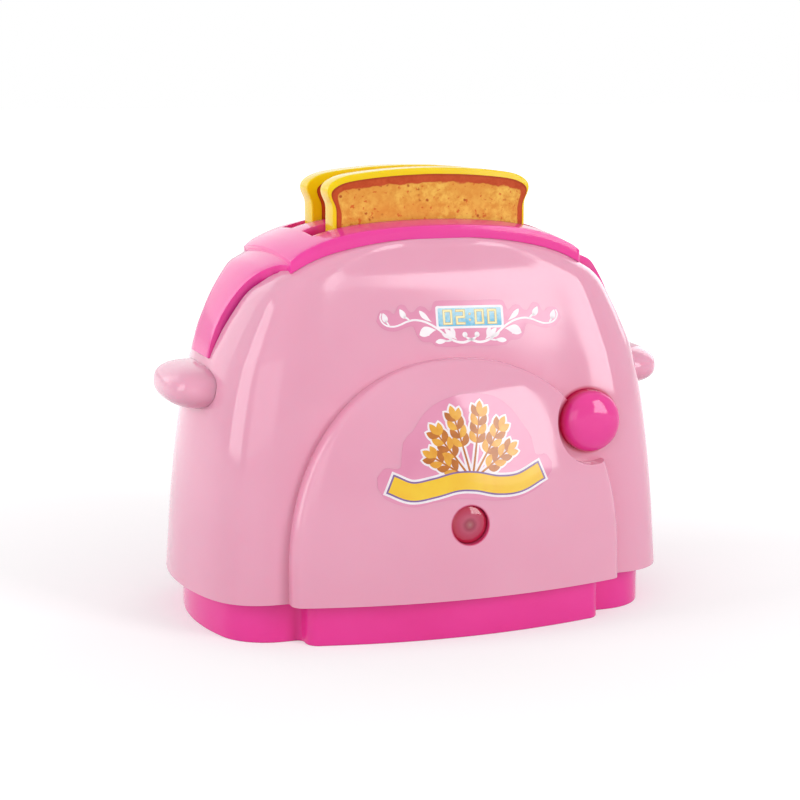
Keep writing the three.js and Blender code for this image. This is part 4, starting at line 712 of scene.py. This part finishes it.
def saddle_strip(side):
    """One strip down a shoulder: cross-sections square to its curve, widest at the middle's corner."""
    fine = np.linspace(STRIP_RISE[0, 0], STRIP_RISE[-1, 0], 400)
    run = np.r_[0, np.cumsum(np.hypot(np.diff(fine), np.diff(through(STRIP_RISE, fine))))]
    step, deepest = 0.05, 7
    rings = []
    for x in np.interp(np.linspace(0, run[-1], 46), run, fine):
        z = float(through(STRIP_RISE, x))
        slope = float(through(STRIP_RISE, x + step) - through(STRIP_RISE, x - step)) / (2 * step)
        if x > STRIP_RISE[-1, 0] - 0.06:
            slope = STRIP_END_SLOPE
        normal = np.array([-slope, 1]) / math.hypot(slope, 1)
        half = float(through(STRIP_PLAN, x))
        ys = np.linspace(-half, half, 9)
        drop = SADDLE_CROWN * ys ** 2 / SADDLE_HALF_DEPTH ** 2
        deep = 0.0
        while deep < deepest and not inside_loaf(x - normal[0] * deep, half, z - normal[1] * deep):
            deep += step
        top, under = ([(side * (x - normal[0] * down), y, z - normal[1] * down - d)
                       for y, d in zip(ys, drop)] for down in (0.0, deep + STRIP_ROOT))
        rings.append(top + under[::-1])
    return cut(lofted("strip", rings), block("below", (-OUTSIDE, -30, 30), (OUTSIDE, 30, STRIP_END)))


def top_saddle():
    piece = join(saddle_middle(), saddle_strip(-1), saddle_strip(1))
    for y in (-SLOT_Y, SLOT_Y):
        cut(piece, block("slot", (-SLOT_HALF_LENGTH, y - SLOT_HALF_WIDTH, 40),
                         (SLOT_HALF_LENGTH, y + SLOT_HALF_WIDTH, 95)))
    return soften(piece, SADDLE_SOFT, 3, 38)


saddle = satin(top_saddle(), 40)
finish(saddle, MAGENTA, "magenta_plastic", "toaster", "top_saddle")


# ---- grips
GRIP_X, GRIP_Z = 44, 47.6
GRIP_REACH, GRIP_HALF_DEPTH, GRIP_HALF_HEIGHT = 8.5, 13, 4.4
GRIP_POWER, GRIP_PLAN_POWER = 2.5, 2.9    # how square it is upright, and in plan


def grip(side):
    """A flattened egg that sits on the shell's side."""
    def curve(value, power):
        return np.sign(value) * np.abs(value) ** (2 / power)

    rings = []
    for level in np.linspace(-math.radians(84), math.radians(84), 40):
        share = curve(math.cos(level), GRIP_POWER)
        z = GRIP_Z + GRIP_HALF_HEIGHT * curve(math.sin(level), GRIP_POWER)
        rings.append([(side * (GRIP_X + share * GRIP_REACH * curve(math.cos(t), GRIP_PLAN_POWER)),
                       share * GRIP_HALF_DEPTH * curve(math.sin(t), GRIP_PLAN_POWER), z)
                      for t in np.linspace(0, 2 * math.pi, 72, endpoint=False)])
    egg = lofted(("left" if side < 0 else "right") + "_grip", rings)
    modified(egg, "SMOOTH", factor=0.5, iterations=14)
    return cut(egg, loaf("seat", -FIT, RIM))


for side, cad_name in ((-1, "left_handle"), (1, "right_handle")):
    finish(satin(grip(side), 40), PINK, "pink_plastic", "toaster", cad_name)


# ---- base plinth
BASE_INSET = 3.4       # how far it stands in from the body's rim
BASE_WALL = 1.8
BASE_SOFT = 0.35       # its lower edge's rounding
PANEL_CORNER = 2.6
STEP_FILLET = 1.4
CORNER_FULLER = 3.2    # how much rounder its four corners are than the body's
SCREW_PLACES = [(x, y) for x in (-36, 36) for y in (-14, 14)]
DOOR_SCREW = (16.9, 0)
CONTACT_X = 9.45


def base_ring(inset, z, side_steps=8, corner_steps=14, front_steps=24):
    """The base's plan: the body's foot drawn in by an inset, stepped out under both arch panels."""
    half = ARCH_HALF_WIDTH - inset
    part = [p for p in quarter(RIM - inset, inset, side_steps, corner_steps, 8, CORNER_FULLER)
            if p[0] > half + STEP_FILLET + 0.1]
    depth = float(through(SHELL, RIM, 2)) - inset
    bend = np.linspace(0, math.pi / 2, 6)
    part += [(half + STEP_FILLET * (1 - math.sin(a)), depth + STEP_FILLET * (1 - math.cos(a)))
             for a in bend]
    edge = half - PANEL_CORNER
    corner_y = -float(arch_front(edge, RIM, inset)) - PANEL_CORNER
    part += [(edge + PANEL_CORNER * math.cos(a), corner_y + PANEL_CORNER * math.sin(a)) for a in bend]
    part += [(x, -float(arch_front(x, RIM, inset))) for x in np.linspace(edge, 0, front_steps + 1)[1:]]
    return [(x, y, z) for x, y in all_round(part)]


def base_plinth():
    def plain(name, inset, *levels):
        return lofted(name, [base_ring(inset, z, 3, 6, 6) for z in levels])

    rings = [base_ring(BASE_INSET + BASE_SOFT * (1 - math.sin(a)), BASE_SOFT * (1 - math.cos(a)))
             for a in np.linspace(0, math.pi / 2, 5)]
    plinth = lofted("plinth_moulding", [*rings, base_ring(BASE_INSET, RIM + 0.3)])
    cut(plinth, plain("hollow", BASE_INSET + BASE_WALL, 2, 12))
    flange = plain("flange", 2.1, RIM + 0.25, RIM + 2.1)
    join(plinth, cut(flange, plain("flange_hole", BASE_INSET + 5, 6, 14)))
    join(plinth, block("bay", (-14, -9.6, 1), (14, 9.6, 15.6)),
         rod("door_post", "z", 5.6, 1.05, 12, DOOR_SCREW, 48),
         *[rod("screw_tube", "z", 4.2, 1, 10.55, spot, 48) for spot in SCREW_PLACES])
    return cut(plinth, block("bay_room", (-10.6, -6.2, -1), (10.6, 6.2, 14.1)),
               block("door_room", (-12.7, -8.3, -1.1), (21.9, 8.3, 2.05)),
               rod("cup_room", "z", 4.3, -1.2, 3.7, DOOR_SCREW, 48),
               rod("door_bore", "z", 1.6, -1, 10.2, DOOR_SCREW, 24),
               *[rod("sink", "z", 3.2, -1, 5.4, spot, 40) for spot in SCREW_PLACES],
               *[rod("bore", "z", 1.6, -1.1, 12, spot, 24) for spot in SCREW_PLACES],
               *[block("contact_slot", (x - 0.55, -3.3, 13.1), (x + 0.55, 3.3, 16.6))
                 for x in (-CONTACT_X, CONTACT_X)])


plinth = satin(base_plinth(), 35)
finish(plinth, MAGENTA, "magenta_plastic", "toaster", "base_tray")


# ---- toast slices and their labels
# half of a slice's outline: across from its middle, and height
SLICE_HALF = [(0, 89.5), (5.5, 89.38), (11, 89.0), (15.5, 88.5), (18.2, 87.95), (20.0, 87.1), (20.9, 86.2),
              (21.15, 85.3), (21.0, 84.4), (20.62, 83.5), (20.3, 82.75), (20.15, 81.8), (20.15, 80)]
SLICE_FOOT, SLICE_CORNER = 51.3, 1.5
SLICE_HALF_THICK, SLICE_EDGE = 2.6, 0.3
SLICE_X = 0.8
REAR_DROP = 0.2           # the rear slice shows that much lower
LABEL_MARGIN = 0.62       # how far inside the slice's edge its label ends
LABEL_SHIFT = 0.1
REAR_LABEL = 0.966, 0.69  # the rear label's width against the front one's, and how far it lies aside
CREST_CRUST = 0.62        # distance from the crest counts that much, so the crust is broader there


def slice_outline(side):
    """A slice's outline, round from its left foot over the top to its right foot."""
    upper = line_through([(-SLICE_HALF[1][0], SLICE_HALF[1][1])] + SLICE_HALF, 5)[5:]
    upper[:, 1] -= REAR_DROP if side > 0 else 0
    width, corner = SLICE_HALF[-1][0], SLICE_CORNER
    edge = [(width, z) for z in np.linspace(upper[-1, 1], SLICE_FOOT + corner, 20)[1:]]
    foot = [(width - corner * (1 - math.cos(a)), SLICE_FOOT + corner * (1 - math.sin(a)))
            for a in np.linspace(0, math.pi / 2, 6)[1:]]
    half = np.vstack([upper, edge, foot, [(0, SLICE_FOOT)]])
    left = half[1:-1][::-1] * (-1, 1)
    return np.vstack([half, left])[::-1] + (SLICE_X, 0)


def offset(outline, by):
    """A closed counter-clockwise outline moved outwards by a distance."""
    along = np.roll(outline, -1, 0) - np.roll(outline, 1, 0)
    along /= np.linalg.norm(along, axis=1)[:, None]
    return outline + by * np.c_[along[:, 1], -along[:, 0]]


def toast_slice(name, side):
    outline = slice_outline(side)
    rings = []
    for face, start, end in ((-1, 0, math.pi / 2), (1, math.pi / 2, 0)):
        for angle in np.linspace(start, end, 6):
            grown = offset(outline, -SLICE_EDGE * (1 - math.sin(angle)))
            y = side * SLOT_Y + face * (SLICE_HALF_THICK - SLICE_EDGE * (1 - math.cos(angle)))
            rings.append([(x, y, z) for x, z in grown])
    return lofted(name, rings)


def toast_label(name, side):
    """A thin printed label on the slice's front face, with how far each point lies in from its edge."""
    edge = offset(slice_outline(side), -LABEL_MARGIN) + (LABEL_SHIFT, -LABEL_MARGIN)
    edge[:, 1] = np.maximum(edge[:, 1], SLICE_FOOT + 0.5)
    share, aside = REAR_LABEL if side > 0 else (1, 0)
    edge[:, 0] = edge[:, 0] * share + aside
    middle = (SLICE_X + LABEL_SHIFT) * share + aside
    left, right = (part[np.argsort(part[:, 1])] for part in (edge[edge[:, 0] < middle],
                                                             edge[edge[:, 0] > middle]))

    def ends(z):
        return [np.interp(z, part[:, 1], part[:, 0]) for part in (left, right)]

    foot, top = edge[:, 1].min(), edge[:, 1].max()
    levels = np.r_[np.linspace(foot, 79, 26), np.linspace(79, 86.2, 30)[1:], np.linspace(86.2, top, 16)[1:]]
    across = 0.5 - 0.5 * np.cos(np.linspace(0, math.pi, 41))
    rows = []
    for z in levels:
        a, b = ends(z)
        rows.append([(x, z) for x in a + (b - a) * across])
    front = side * SLOT_Y - SLICE_HALF_THICK
    piece = sheet(name, [rows], lambda x, z, lift: (x, front - lift, z), -0.02, 0.06)
    x, z = (np.array([v.co for v in piece.data.vertices]) / MM)[:, (0, 2)].T
    crest = edge[edge[:, 1] > 84]
    crest = crest[np.argsort(crest[:, 0])]
    a, b = ends(z)
    side_gap = np.minimum(x - a, b - x)
    top_gap = (np.interp(x, crest[:, 0], crest[:, 1]) - z) * CREST_CRUST
    near = -np.log(np.exp(-3 * side_gap) + np.exp(-3 * top_gap)) / 3   # the lesser gap, eased
    piece.data.attributes.new("depth", "FLOAT", "POINT").data.foreach_set("value", np.maximum(near, 0))
    return piece


def crumb_print():
    """A glossy paper label: brown-red crust round an ochre crumb with orange and brown specks."""
    made, tree, shader, where = material("printed_paper_label", Roughness=0.34, IOR=1.5,
                                         Specular_IOR_Level=0.12)
    holes = add(tree, "TexVoronoi", {"Vector": where, "Scale": per_mm(1.7), "Randomness": 1.0}, "Distance")
    spot = add(tree, "MapRange", (holes, 0.12, 0.26, 1, 0))
    odd = clouds(tree, where, 2.1, 2, 0.5, 0.58)
    crumb = layered(tree, "#E09A3C", (clouds(tree, where, 1.3, 4, 0.38, 0.62, rough=0.65), "#F2C458"),
                    (clouds(tree, where, 7.5, 3, 0.42, 0.62, 0, 0.75), "#E39A3E"),
                    (clouds(tree, where, 0.9, 2, 0.62, 0.7, 0, 0.8), "#D25A20"),
                    (add(tree, "Math", (spot, odd), operation="MULTIPLY"), "#B4581E"))
    depth = add(tree, "Attribute", out="Fac", attribute_name="depth")
    ragged = add(tree, "TexNoise", {"Vector": where, "Scale": per_mm(2.6), "Detail": 3})
    ragged = add(tree, "Math", (ragged, 1.2), operation="MULTIPLY")
    inner = add(tree, "Math", (depth, ragged), operation="SUBTRACT")
    colour = layered(tree, "#B8431A", (clouds(tree, where, 1.3, 4, 0.3, 0.7, rough=0.65), "#C9552A"),
                     (add(tree, "MapRange", (depth, 0.0, 0.28, 0.7, 0)), "#9A3410"),
                     (add(tree, "MapRange", (inner, 0.36, 0.52, 0, 1)), crumb))
    tree.links.new(colour, shader.inputs["Base Color"])
    return made


PRINT = crumb_print()
for side, body in ((-1, "slice_front"), (1, "slice_rear")):
    bread = satin(toast_slice(body + "_moulding", side), 40)
    finish(bread, YELLOW, "yellow_plastic", body, body)
    finish(toast_label(body + "_label", side), PRINT, "yellow_plastic", body)


# ---- push button and light
def spun(name, profile, centre):
    """A profile of radius and depth along Y, spun round the line through the centre."""
    x, z = centre
    turn = np.linspace(0, 2 * math.pi, 72, endpoint=False)
    return lofted(name, [[(x + radius * math.cos(t), y, z + radius * math.sin(t)) for t in turn]
                         for radius, y in profile])


def button():
    rise, share = BUTTON_EDGE - BUTTON_TIP, 2 / BUTTON_POWER
    dome = [(BUTTON_RADIUS * math.sin(a) ** share, BUTTON_EDGE - rise * math.cos(a) ** share)
            for a in np.linspace(0.005, 1, 26) ** 1.5 * (math.pi / 2)]
    profile = dome + [(BUTTON_RADIUS, FLANGE_FRONT), (FLANGE_RADIUS, FLANGE_FRONT),
                      (FLANGE_RADIUS, FLANGE_BACK), (BOSS_RADIUS, FLANGE_BACK), (BOSS_RADIUS, BOSS_BACK)]
    return spun("button_dome", profile, (BUTTON_X, BUTTON_Z))


# painted shade: the button cap darkens to deep crimson towards its foot in the seat
painted_foot_shade(BUTTON_PINK, -28.6, -26.6, "#CE0A4E")
finish(satin(button(), 40), BUTTON_PINK, "magenta_plastic", "button", "button_cap")


def lens_resin():
    """Clear polystyrene tinted red: rings where the lamp and its holder show through a glossy dome."""
    made, tree, shader, where = material("clear_red_polystyrene", IOR=1.55, Roughness=0.06,
                                         Transmission_Weight=0.12)
    cloud = clouds(tree, where, 1.3, 3, 0, 1, -0.25 * MM, 0.25 * MM)
    away = add(tree, "Math", (cloud, off_line(tree, where, (0, LIGHT_Z))), operation="ADD")
    ramp = add(tree, "ValToRGB", (add(tree, "MapRange", (away, 0, 3.8 * MM, 0, 1)),))
    stops = ramp.node.color_ramp.elements
    stops[0].color, stops[1].color = linear("#B98084"), linear("#C41C46")
    for spot, tone in ((0.14, "#B05560"), (0.24, "#A83A54"), (0.42, "#C84E6E"), (0.6, "#C63A60"),
                       (0.85, "#C8284E")):
        stops.new(spot).color = linear(tone)
    tree.links.new(ramp, shader.inputs["Base Color"])
    return made


def bulb_resin():
    """Clear epoxy of the lamp, a little clouded."""
    made, tree, shader, where = material("clear_epoxy", IOR=1.5, Roughness=0.1, Transmission_Weight=0.3)
    cloud = add(tree, "TexNoise", {"Vector": where, "Scale": per_mm(1.0), "Detail": 3})
    tree.links.new(layered(tree, "#F1E6E4", (cloud, "#E6D2D0")), shader.inputs["Base Color"])
    return made


def lens():
    rise = LENS_EDGE - LENS_TIP
    dome = [(LENS_RADIUS * math.sin(a), LENS_EDGE - rise * math.cos(a))
            for a in np.linspace(0.02, math.pi / 2, 16)]
    inner = [(LAMP_ROOM_RADIUS * math.sin(a), LAMP_ROOM_EDGE - LAMP_ROOM_RISE * math.cos(a))
             for a in np.linspace(math.pi / 2, 0.02, 10)]
    rim = [(LENS_RADIUS, LENS_RIM_FRONT), (LENS_RIM_RADIUS, LENS_RIM_FRONT),
           (LENS_RIM_RADIUS, LENS_RIM_BACK), (LAMP_ROOM_RADIUS, LENS_RIM_BACK)]
    return spun("light_window", dome + rim + inner, (0, LIGHT_Z))


finish(satin(lens(), 40), lens_resin(), "lens_plastic", "toaster", "light_lens")


# ---- printed films on the front
def shell_skin(x, z, lift):
    """A place on the shell's front above the arch panel."""
    return x, -float(through(SHELL, z, 2) - sunk(x, z)) - lift, z


def arch_skin(x, z, lift):
    return x, float(arch_front(x, z)) - lift, z


def printed(layers, skin, by=(0, 0), turn=0.0):
    """Prints on a skin: each has its name, patches, ink, and how high its two sides lie."""
    for name, patches, ink_used, low, high in layers:
        patches = [moved(rows, by, 1, turn) for rows in patches]
        finish(sheet(name, patches, skin, low, high), ink_used, "white_plastic", "toaster")


def ink(name, tone, deep, gloss=(0.14, 0.2), wave=2.0):
    """Printed ink under clear film: even colour with a faint screen grain."""
    return moulded(name, tone, deep, gloss, wave=wave, peel=0.004)


WHITE_INK = ink("white_screen_ink", "#FBF4F7", "#F3E8EE")
FILM = ink("clear_vinyl_film_on_pink", "#E998B8", "#E48EB0", (0.05, 0.09), 9)
PALE_INK = ink("pale_yellow_ink", "#FBF2BC", "#F3E4A0")
GOLD_INK = ink("gold_ink", "#DDB765", "#CFA352")
YELLOW_INK = ink("yellow_ink", "#F9CE2E", "#F5BC22", wave=5)
PURPLE_INK = ink("violet_ink", "#8C6CA6", "#7B5B98")
GRAIN_INK = ink("golden_ochre_ink", "#F0B43C", "#E39A28", wave=1.4)
HUSK_INK = ink("brown_ochre_ink", "#C9761F", "#B4641A", wave=1.4)

DISPLAY_X, DISPLAY_Z, DISPLAY_TURN = 4.25, 61.35, math.radians(-1.2)
SCREEN_FADE = 1.7     # the ground fades over that height above and below the display's middle
# right half of the display film's upper and lower edge, from the display's middle
FILM_END = 19.1
FILM_TOP = np.array([(0, 3.1), (6.7, 3.1), (7.4, 2.6), (8.0, 1.2), (9.2, 2.0), (10.5, 2.05), (11.3, 1.2),
                     (12.3, 1.2), (13.2, 2.4), (14.5, 2.3), (15.4, 0.8), (16.4, 1.45), (18.0, 1.5),
                     (18.9, 0.4), (FILM_END, -0.45)])
FILM_FOOT = np.array([(0, -5.4), (3.7, -5.6), (7.2, -5.4), (8.1, -4.7), (10.1, -4.4), (11.1, -3.3),
                      (11.6, -1.8), (12.6, -1.6), (15.3, -2.4), (17.5, -2.1), (18.7, -1.2),
                      (FILM_END, -0.55)])
# half width and half height of the clock's figures and half width of their bars, and the figures' places
FIGURE_X, FIGURE_Z, FIGURE_BAR = 0.75, 1.2, 0.15
FIGURES = ((-4.6, "0"), (-1.95, "2"), (1.95, "0"), (4.6, "0"))


def screen_ink():
    """Blue display ground: pale at its top, deeper at its foot, with a screen's mottle."""
    made, tree, shader, where = material("blue_screen_ink", Roughness=0.16, IOR=1.5)
    foot, top = (DISPLAY_Z - SCREEN_FADE) * MM, (DISPLAY_Z + SCREEN_FADE) * MM
    fade = add(tree, "MapRange", (add(tree, "SeparateXYZ", (where,), "Z"), foot, top, 0, 1))
    mottle = clouds(tree, where, 0.8, 3, 0.3, 0.7, -0.3, 0.3)
    share = add(tree, "Math", (fade, mottle), operation="ADD", use_clamp=True)
    tree.links.new(layered(tree, "#5FB4D6", (share, "#B9DEEC")), shader.inputs["Base Color"])
    return made


def scroll_print():
    """White ornament round the display: two stems that cross below it, with buds and leaves."""
    rows = [stroke([(0, -4.3), (1.5, -4.78), (3.1, -4.6), (4.8, -3.75), (6.3, -2.5), (7.7, -1.55),
                    (9.4, -0.75), (11.3, -0.4), (12.9, -0.65), (14.2, -1.15), (15.5, -1.5), (16.9, -1.4),
                    (17.9, -0.8), (18.35, 0.15), (18.1, 1.0)], 0.5, 0.26),
            stroke([(0, -4.3), (0.75, -4.0), (1.3, -3.55)], 0.45, 0.3),
            disc((1.25, -3.35), 0.52),
            stroke([(12.4, -0.5), (12.8, -0.1), (13.5, 0.35)], 0.3, 0.45),
            leaf((13.3, -0.05), (14.3, 1.7), 1.15, 0.42),
            stroke([(16.6, -1.35), (16.9, -0.9), (17.3, -0.4)], 0.26, 0.4),
            leaf((17.15, -0.75), (17.75, 1.05), 1.15, 0.42),
            leaf((7.9, -0.85), (10.35, 1.35), 1.0, 0.62, -0.15),
            leaf((7.1, -2.35), (10.6, -3.2), 1.85, 0.62, 0.3),
            leaf((9.6, -2.0), (8.6, -3.4), 1.2, 0.5),
            leaf((2.9, -4.3), (5.4, -2.2), 1.0, 0.6),
            leaf((3.3, -4.0), (4.1, -1.9), 0.85, 0.6, 0.1),
            leaf((3.7, -3.9), (6.0, -3.1), 0.8, 0.6, -0.1),
            stroke([(4.0, -4.3), (4.6, -4.45), (5.3, -4.5)], 0.35, 0.3),
            leaf((4.9, -4.4), (7.4, -4.6), 0.95, 0.6)]
    return [moved(row, flip=side) for row in rows for side in (-1, 1)]


def digit(shape, grow):
    """One figure of the clock as bars."""
    w, h = FIGURE_X, FIGURE_Z
    corners = {"0": [(-w, -h), (w, -h), (w, h), (-w, h), (-w, -h)],
               "2": [(-w, h), (w, h), (w, 0), (-w, 0), (-w, -h), (w, -h)]}[shape]
    patches = []
    for a, b in zip(np.array(corners, float), np.array(corners[1:], float)):
        run = (b - a) / np.linalg.norm(b - a) * (FIGURE_BAR + grow)
        side = np.array([-run[1], run[0]])
        patches.append([[tuple(p - side), tuple(p + side)] for p in (a - run, b + run)])
    return patches


def clock(grow):
    patches = [moved(bar, (x, 0)) for x, shape in FIGURES for bar in digit(shape, grow)]
    return patches + [disc((0, z), 0.16, 6, grow) for z in (-0.55, 0.55)]


printed([("display_film", [spanned(np.linspace(-FILM_END, FILM_END, 150), FILM_FOOT, FILM_TOP, 7, True)],
          FILM, -0.03, 0.05),
         ("scroll_print", scroll_print(), WHITE_INK, 0.04, 0.09),
         ("display_frame", [rounded(7.0, 2.15, 0.5)], WHITE_INK, 0.04, 0.085),
         ("display_screen", [rounded(6.55, 1.72, 0.25)], screen_ink(), 0.08, 0.1),
         ("clock_edges", clock(0.09), GOLD_INK, 0.09, 0.115),
         ("clock_digits", clock(0.0), PALE_INK, 0.1, 0.13)],
        shell_skin, (DISPLAY_X, DISPLAY_Z), DISPLAY_TURN)


# a sheaf of wheat over a plain ribbon: a general bakery motif in the print's colours
SHEAF = (0.6, 31.5)
EARS = ((-58, 11.5), (-36, 13.6), (-14, 14.6), (10, 15.0), (33, 13.8), (56, 11.8))   # lean and length
RIBBON = [(-15.4, 31.6), (-11.5, 30.0), (-7, 30.5), (-2.5, 31.4), (1.5, 31.2), (6, 30.2), (10.5, 30.3),
          (15.2, 32.2)]
RIBBON_WIDTH = 3.2
STICKER_TOP = np.array([(-18.0, 33.0), (-16.5, 34.6), (-13.2, 35.0), (-13.0, 38.6), (-10.5, 41.6),
                        (-8, 44.6), (-4.5, 46.6), (0.6, 47.6), (6, 47.0), (9.5, 44.6), (12.0, 41.2),
                        (13.6, 38.4), (14.2, 35.6), (16.6, 35.2), (17.8, 33.6)])
STICKER_FOOT = np.array([(-18.0, 31.0), (-16.5, 28.8), (-11.5, 27.1), (-7, 27.7), (-2.5, 28.1), (1.5, 27.7),
                         (6, 27.2), (10.5, 27.4), (15.2, 29.3), (17.8, 32.0)])


def wheat(angle, length, grow=0.0):
    """One ear that leans by an angle: its grains in two tones, then its stem."""
    tones = ([], [])
    stem = [stroke([(0, 0), (0, length * 0.5), (0, length - 2.4)], 0.42, 0.3, 4, grow)]
    for i, up in enumerate(np.linspace(length - 7.9, length - 3.0, 4)):
        for side in (-1, 1):
            tones[(i + (side > 0)) % 2].append(
                leaf((side * 0.1, up), (side * 1.55, up + 2.15), 1.35, 0.5, -side * 0.15, 8, grow))
    tones[0].append(leaf((0, length - 2.6), (0, length), 1.3, 0.5, 0, 8, grow))
    return [[moved(rows, SHEAF, 1, -math.radians(angle)) for rows in part] for part in (*tones, stem)]


def ribbon(grow=0.0):
    return [stroke(RIBBON, RIBBON_WIDTH, grow=grow)]


ears = [wheat(*ear) for ear in EARS]
white = [rows for ear in EARS for part in wheat(*ear, 0.42) for rows in part] + ribbon(0.75)
printed([("sticker_film", [spanned(np.linspace(-18, 17.8, 110), STICKER_FOOT, STICKER_TOP, 9)],
          FILM, -0.03, 0.05),
         ("sticker_white", white, WHITE_INK, 0.04, 0.08),
         ("sticker_husks", [rows for ear in ears for rows in ear[1] + ear[2]], HUSK_INK, 0.07, 0.1),
         ("sticker_grains", [rows for ear in ears for rows in ear[0]], GRAIN_INK, 0.07, 0.11),
         ("sticker_edge", ribbon(0.32), PURPLE_INK, 0.09, 0.12),
         ("sticker_ribbon", ribbon(), YELLOW_INK, 0.11, 0.14)], arch_skin)


# ---- spring, and the CAD pieces that stay
def coil():
    """The button's return spring: an open coil of round wire between the flange and the switch."""
    made = bpy.data.curves.new("button_coil", "CURVE")
    made.dimensions, made.use_fill_caps = "3D", True
    made.bevel_depth, made.bevel_resolution = COIL_WIRE * MM, 2
    line = made.splines.new("POLY")
    turns = np.linspace(0, COIL_TURNS * 2 * math.pi, COIL_TURNS * 28 + 1)
    line.points.add(len(turns) - 1)
    for spot, turn, y in zip(line.points, turns, np.linspace(COIL_FRONT, COIL_BACK, len(turns))):
        x, z = BUTTON_X + COIL_RADIUS * math.cos(turn), BUTTON_Z + COIL_RADIUS * math.sin(turn)
        spot.co = (x * MM, y * MM, z * MM, 1)
    choose(held("button_coil", made))
    bpy.ops.object.convert(target="MESH")
    piece = outward(bpy.context.view_layer.objects.active)
    bpy.ops.object.shade_smooth()
    return piece


spring = finish(coil(), STEEL, "plated_steel", "toaster", "button_spring")
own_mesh(spring)

for made, cad_names in (
        (STEEL, ["contact_minus", "contact_plus", *[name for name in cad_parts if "screw" in name]]),
        (CELL_STEEL, ["button_cell_1", "button_cell_2", "button_cell_3"]), (CRIMSON, ["toast_well"]),
        (MAGENTA, ["battery_door"]), (BLACK, ["push_switch"]), (WHITE, ["switch_plunger", "light_holder"]),
        (BOARD_GREEN, ["switch_board"]), (RED_PVC, ["battery_wire_plus", "light_wire_plus"]),
        (BLACK_PVC, ["battery_wire_minus", "light_wire_minus"]), (bulb_resin(), ["light_bulb"])):
    for cad_name in cad_names:
        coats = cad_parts[cad_name].data.materials
        coats.clear()
        coats.append(made)


# ---- floor, lights and camera
def seen_rays(tree):
    """One for camera, mirror and see-through rays, nought for the rays that carry light."""
    rays = add(tree, "LightPath").node.outputs
    seen = add(tree, "Math", (rays["Is Camera Ray"], rays["Is Glossy Ray"]), operation="MAXIMUM")
    return add(tree, "Math", (seen, rays["Is Transmission Ray"]), operation="MAXIMUM")


def pale_stage(name, tone, glow):
    """Matt white paper that glows a little for the rays that see it, less near the toy, which paints a
    faint shade round it; it can't be seen from below.
    """
    made = bpy.data.materials.new(name)
    made.use_nodes = True
    tree = made.node_tree
    tree.nodes.clear()
    paper = add(tree, "BsdfDiffuse", {"Color": linear(tone), "Roughness": 0.5})
    none = add(tree, "Emission", {"Color": (0, 0, 0, 1), "Strength": 0.0})
    away = add(tree, "VectorMath", (add(tree, "TexCoord", out="Object"),), "Value", operation="LENGTH")
    # weaker glow near the toy: painted shade on the paper round it
    strength = add(tree, "MapRange", (away, *GLOW_REACH, *glow))
    lift = add(tree, "Emission", {"Color": (1, 1, 1, 1), "Strength": strength})
    total = add(tree, "AddShader", (paper, add(tree, "MixShader", (seen_rays(tree), none, lift))))
    below = add(tree, "NewGeometry", out="Backfacing")
    sided = add(tree, "MixShader", (below, total, add(tree, "BsdfTransparent")))
    add(tree, "OutputMaterial", {"Surface": sided})
    return made


deselect()
bpy.ops.mesh.primitive_plane_add(size=8, location=(0, 0, 0))
floor = named("floor")
floor.data.materials.append(pale_stage("white_paper", "#D2D0D1", FLOOR_GLOW))

world = bpy.data.worlds.new("studio")
bpy.context.scene.world = world
world.use_nodes = True
tree = world.node_tree
tree.nodes.clear()
lit, seen = (add(tree, "Background", {"Color": (1, 1, 1, 1), "Strength": strength})
             for strength in (ROOM_LIGHT, 1.0))
add(tree, "OutputWorld", {"Surface": add(tree, "MixShader", (seen_rays(tree), lit, seen))})


def softbox(name, left, right, low, high, distance, radiance):
    """An upright soft lamp at a distance in metres. It spans two directions in plan, in degrees from the
    front with the right positive, and two height angles."""
    a = math.radians((left + right) / 2)
    way = Vector((math.sin(a), -math.cos(a), 0))
    foot, top = (distance * math.tan(math.radians(angle)) for angle in (low, high))
    wide, tall = 2 * distance * math.tan(math.radians(right - left) / 2), top - foot
    light = bpy.data.lights.new(name, "AREA")
    light.shape = "RECTANGLE"
    light.size, light.size_y, light.energy = wide, tall, radiance * math.pi * wide * tall
    lamp = held(name, light)
    lamp.location = way * distance + Vector((0, 0, LAMP_LEVEL + (foot + top) / 2))
    lamp.rotation_euler = (-way).to_track_quat("-Z", "Y").to_euler()


softbox("key_softbox", 22.5, 42, -0.5, 33.4, 1.13, 5.8)
softbox("left_strip", -105, -78, -1, 37, 1.0, 3.1)
softbox("front_fill", -65, -15, -1, 24, 1.5, 1.1)
softbox("back_panel", 150, 215, 6, 40, 1.4, 0.35)
softbox("rear_right", 112, 146, 4, 40, 1.4, 1.6)
softbox("rear_left", -160, -132, 4, 40, 1.4, 0.7)

# the photograph's view: from the front, a little to the left and above
AZIMUTH, RISE, DISTANCE = math.radians(19.54), math.radians(9.9), 400.76
TARGET = Vector((-2.15, 0, 41.66)) * MM
PHOTO_WIDTH, FOCAL_LENGTH = 800, 1954.64   # in pixels
SENSOR = 36
back = Vector((-math.sin(AZIMUTH) * math.cos(RISE), -math.cos(AZIMUTH) * math.cos(RISE), math.sin(RISE)))
camera_data = bpy.data.cameras.new("camera")
camera_data.sensor_width = SENSOR
camera_data.lens = FOCAL_LENGTH / PHOTO_WIDTH * SENSOR
camera_data.clip_start = 0.01
camera = held("camera", camera_data)
camera.location = TARGET + back * DISTANCE * MM
camera.rotation_euler = (-back).to_track_quat("-Z", "Y").to_euler()
bpy.context.scene.camera = camera
bpy.context.scene.view_settings.view_transform = "Standard"
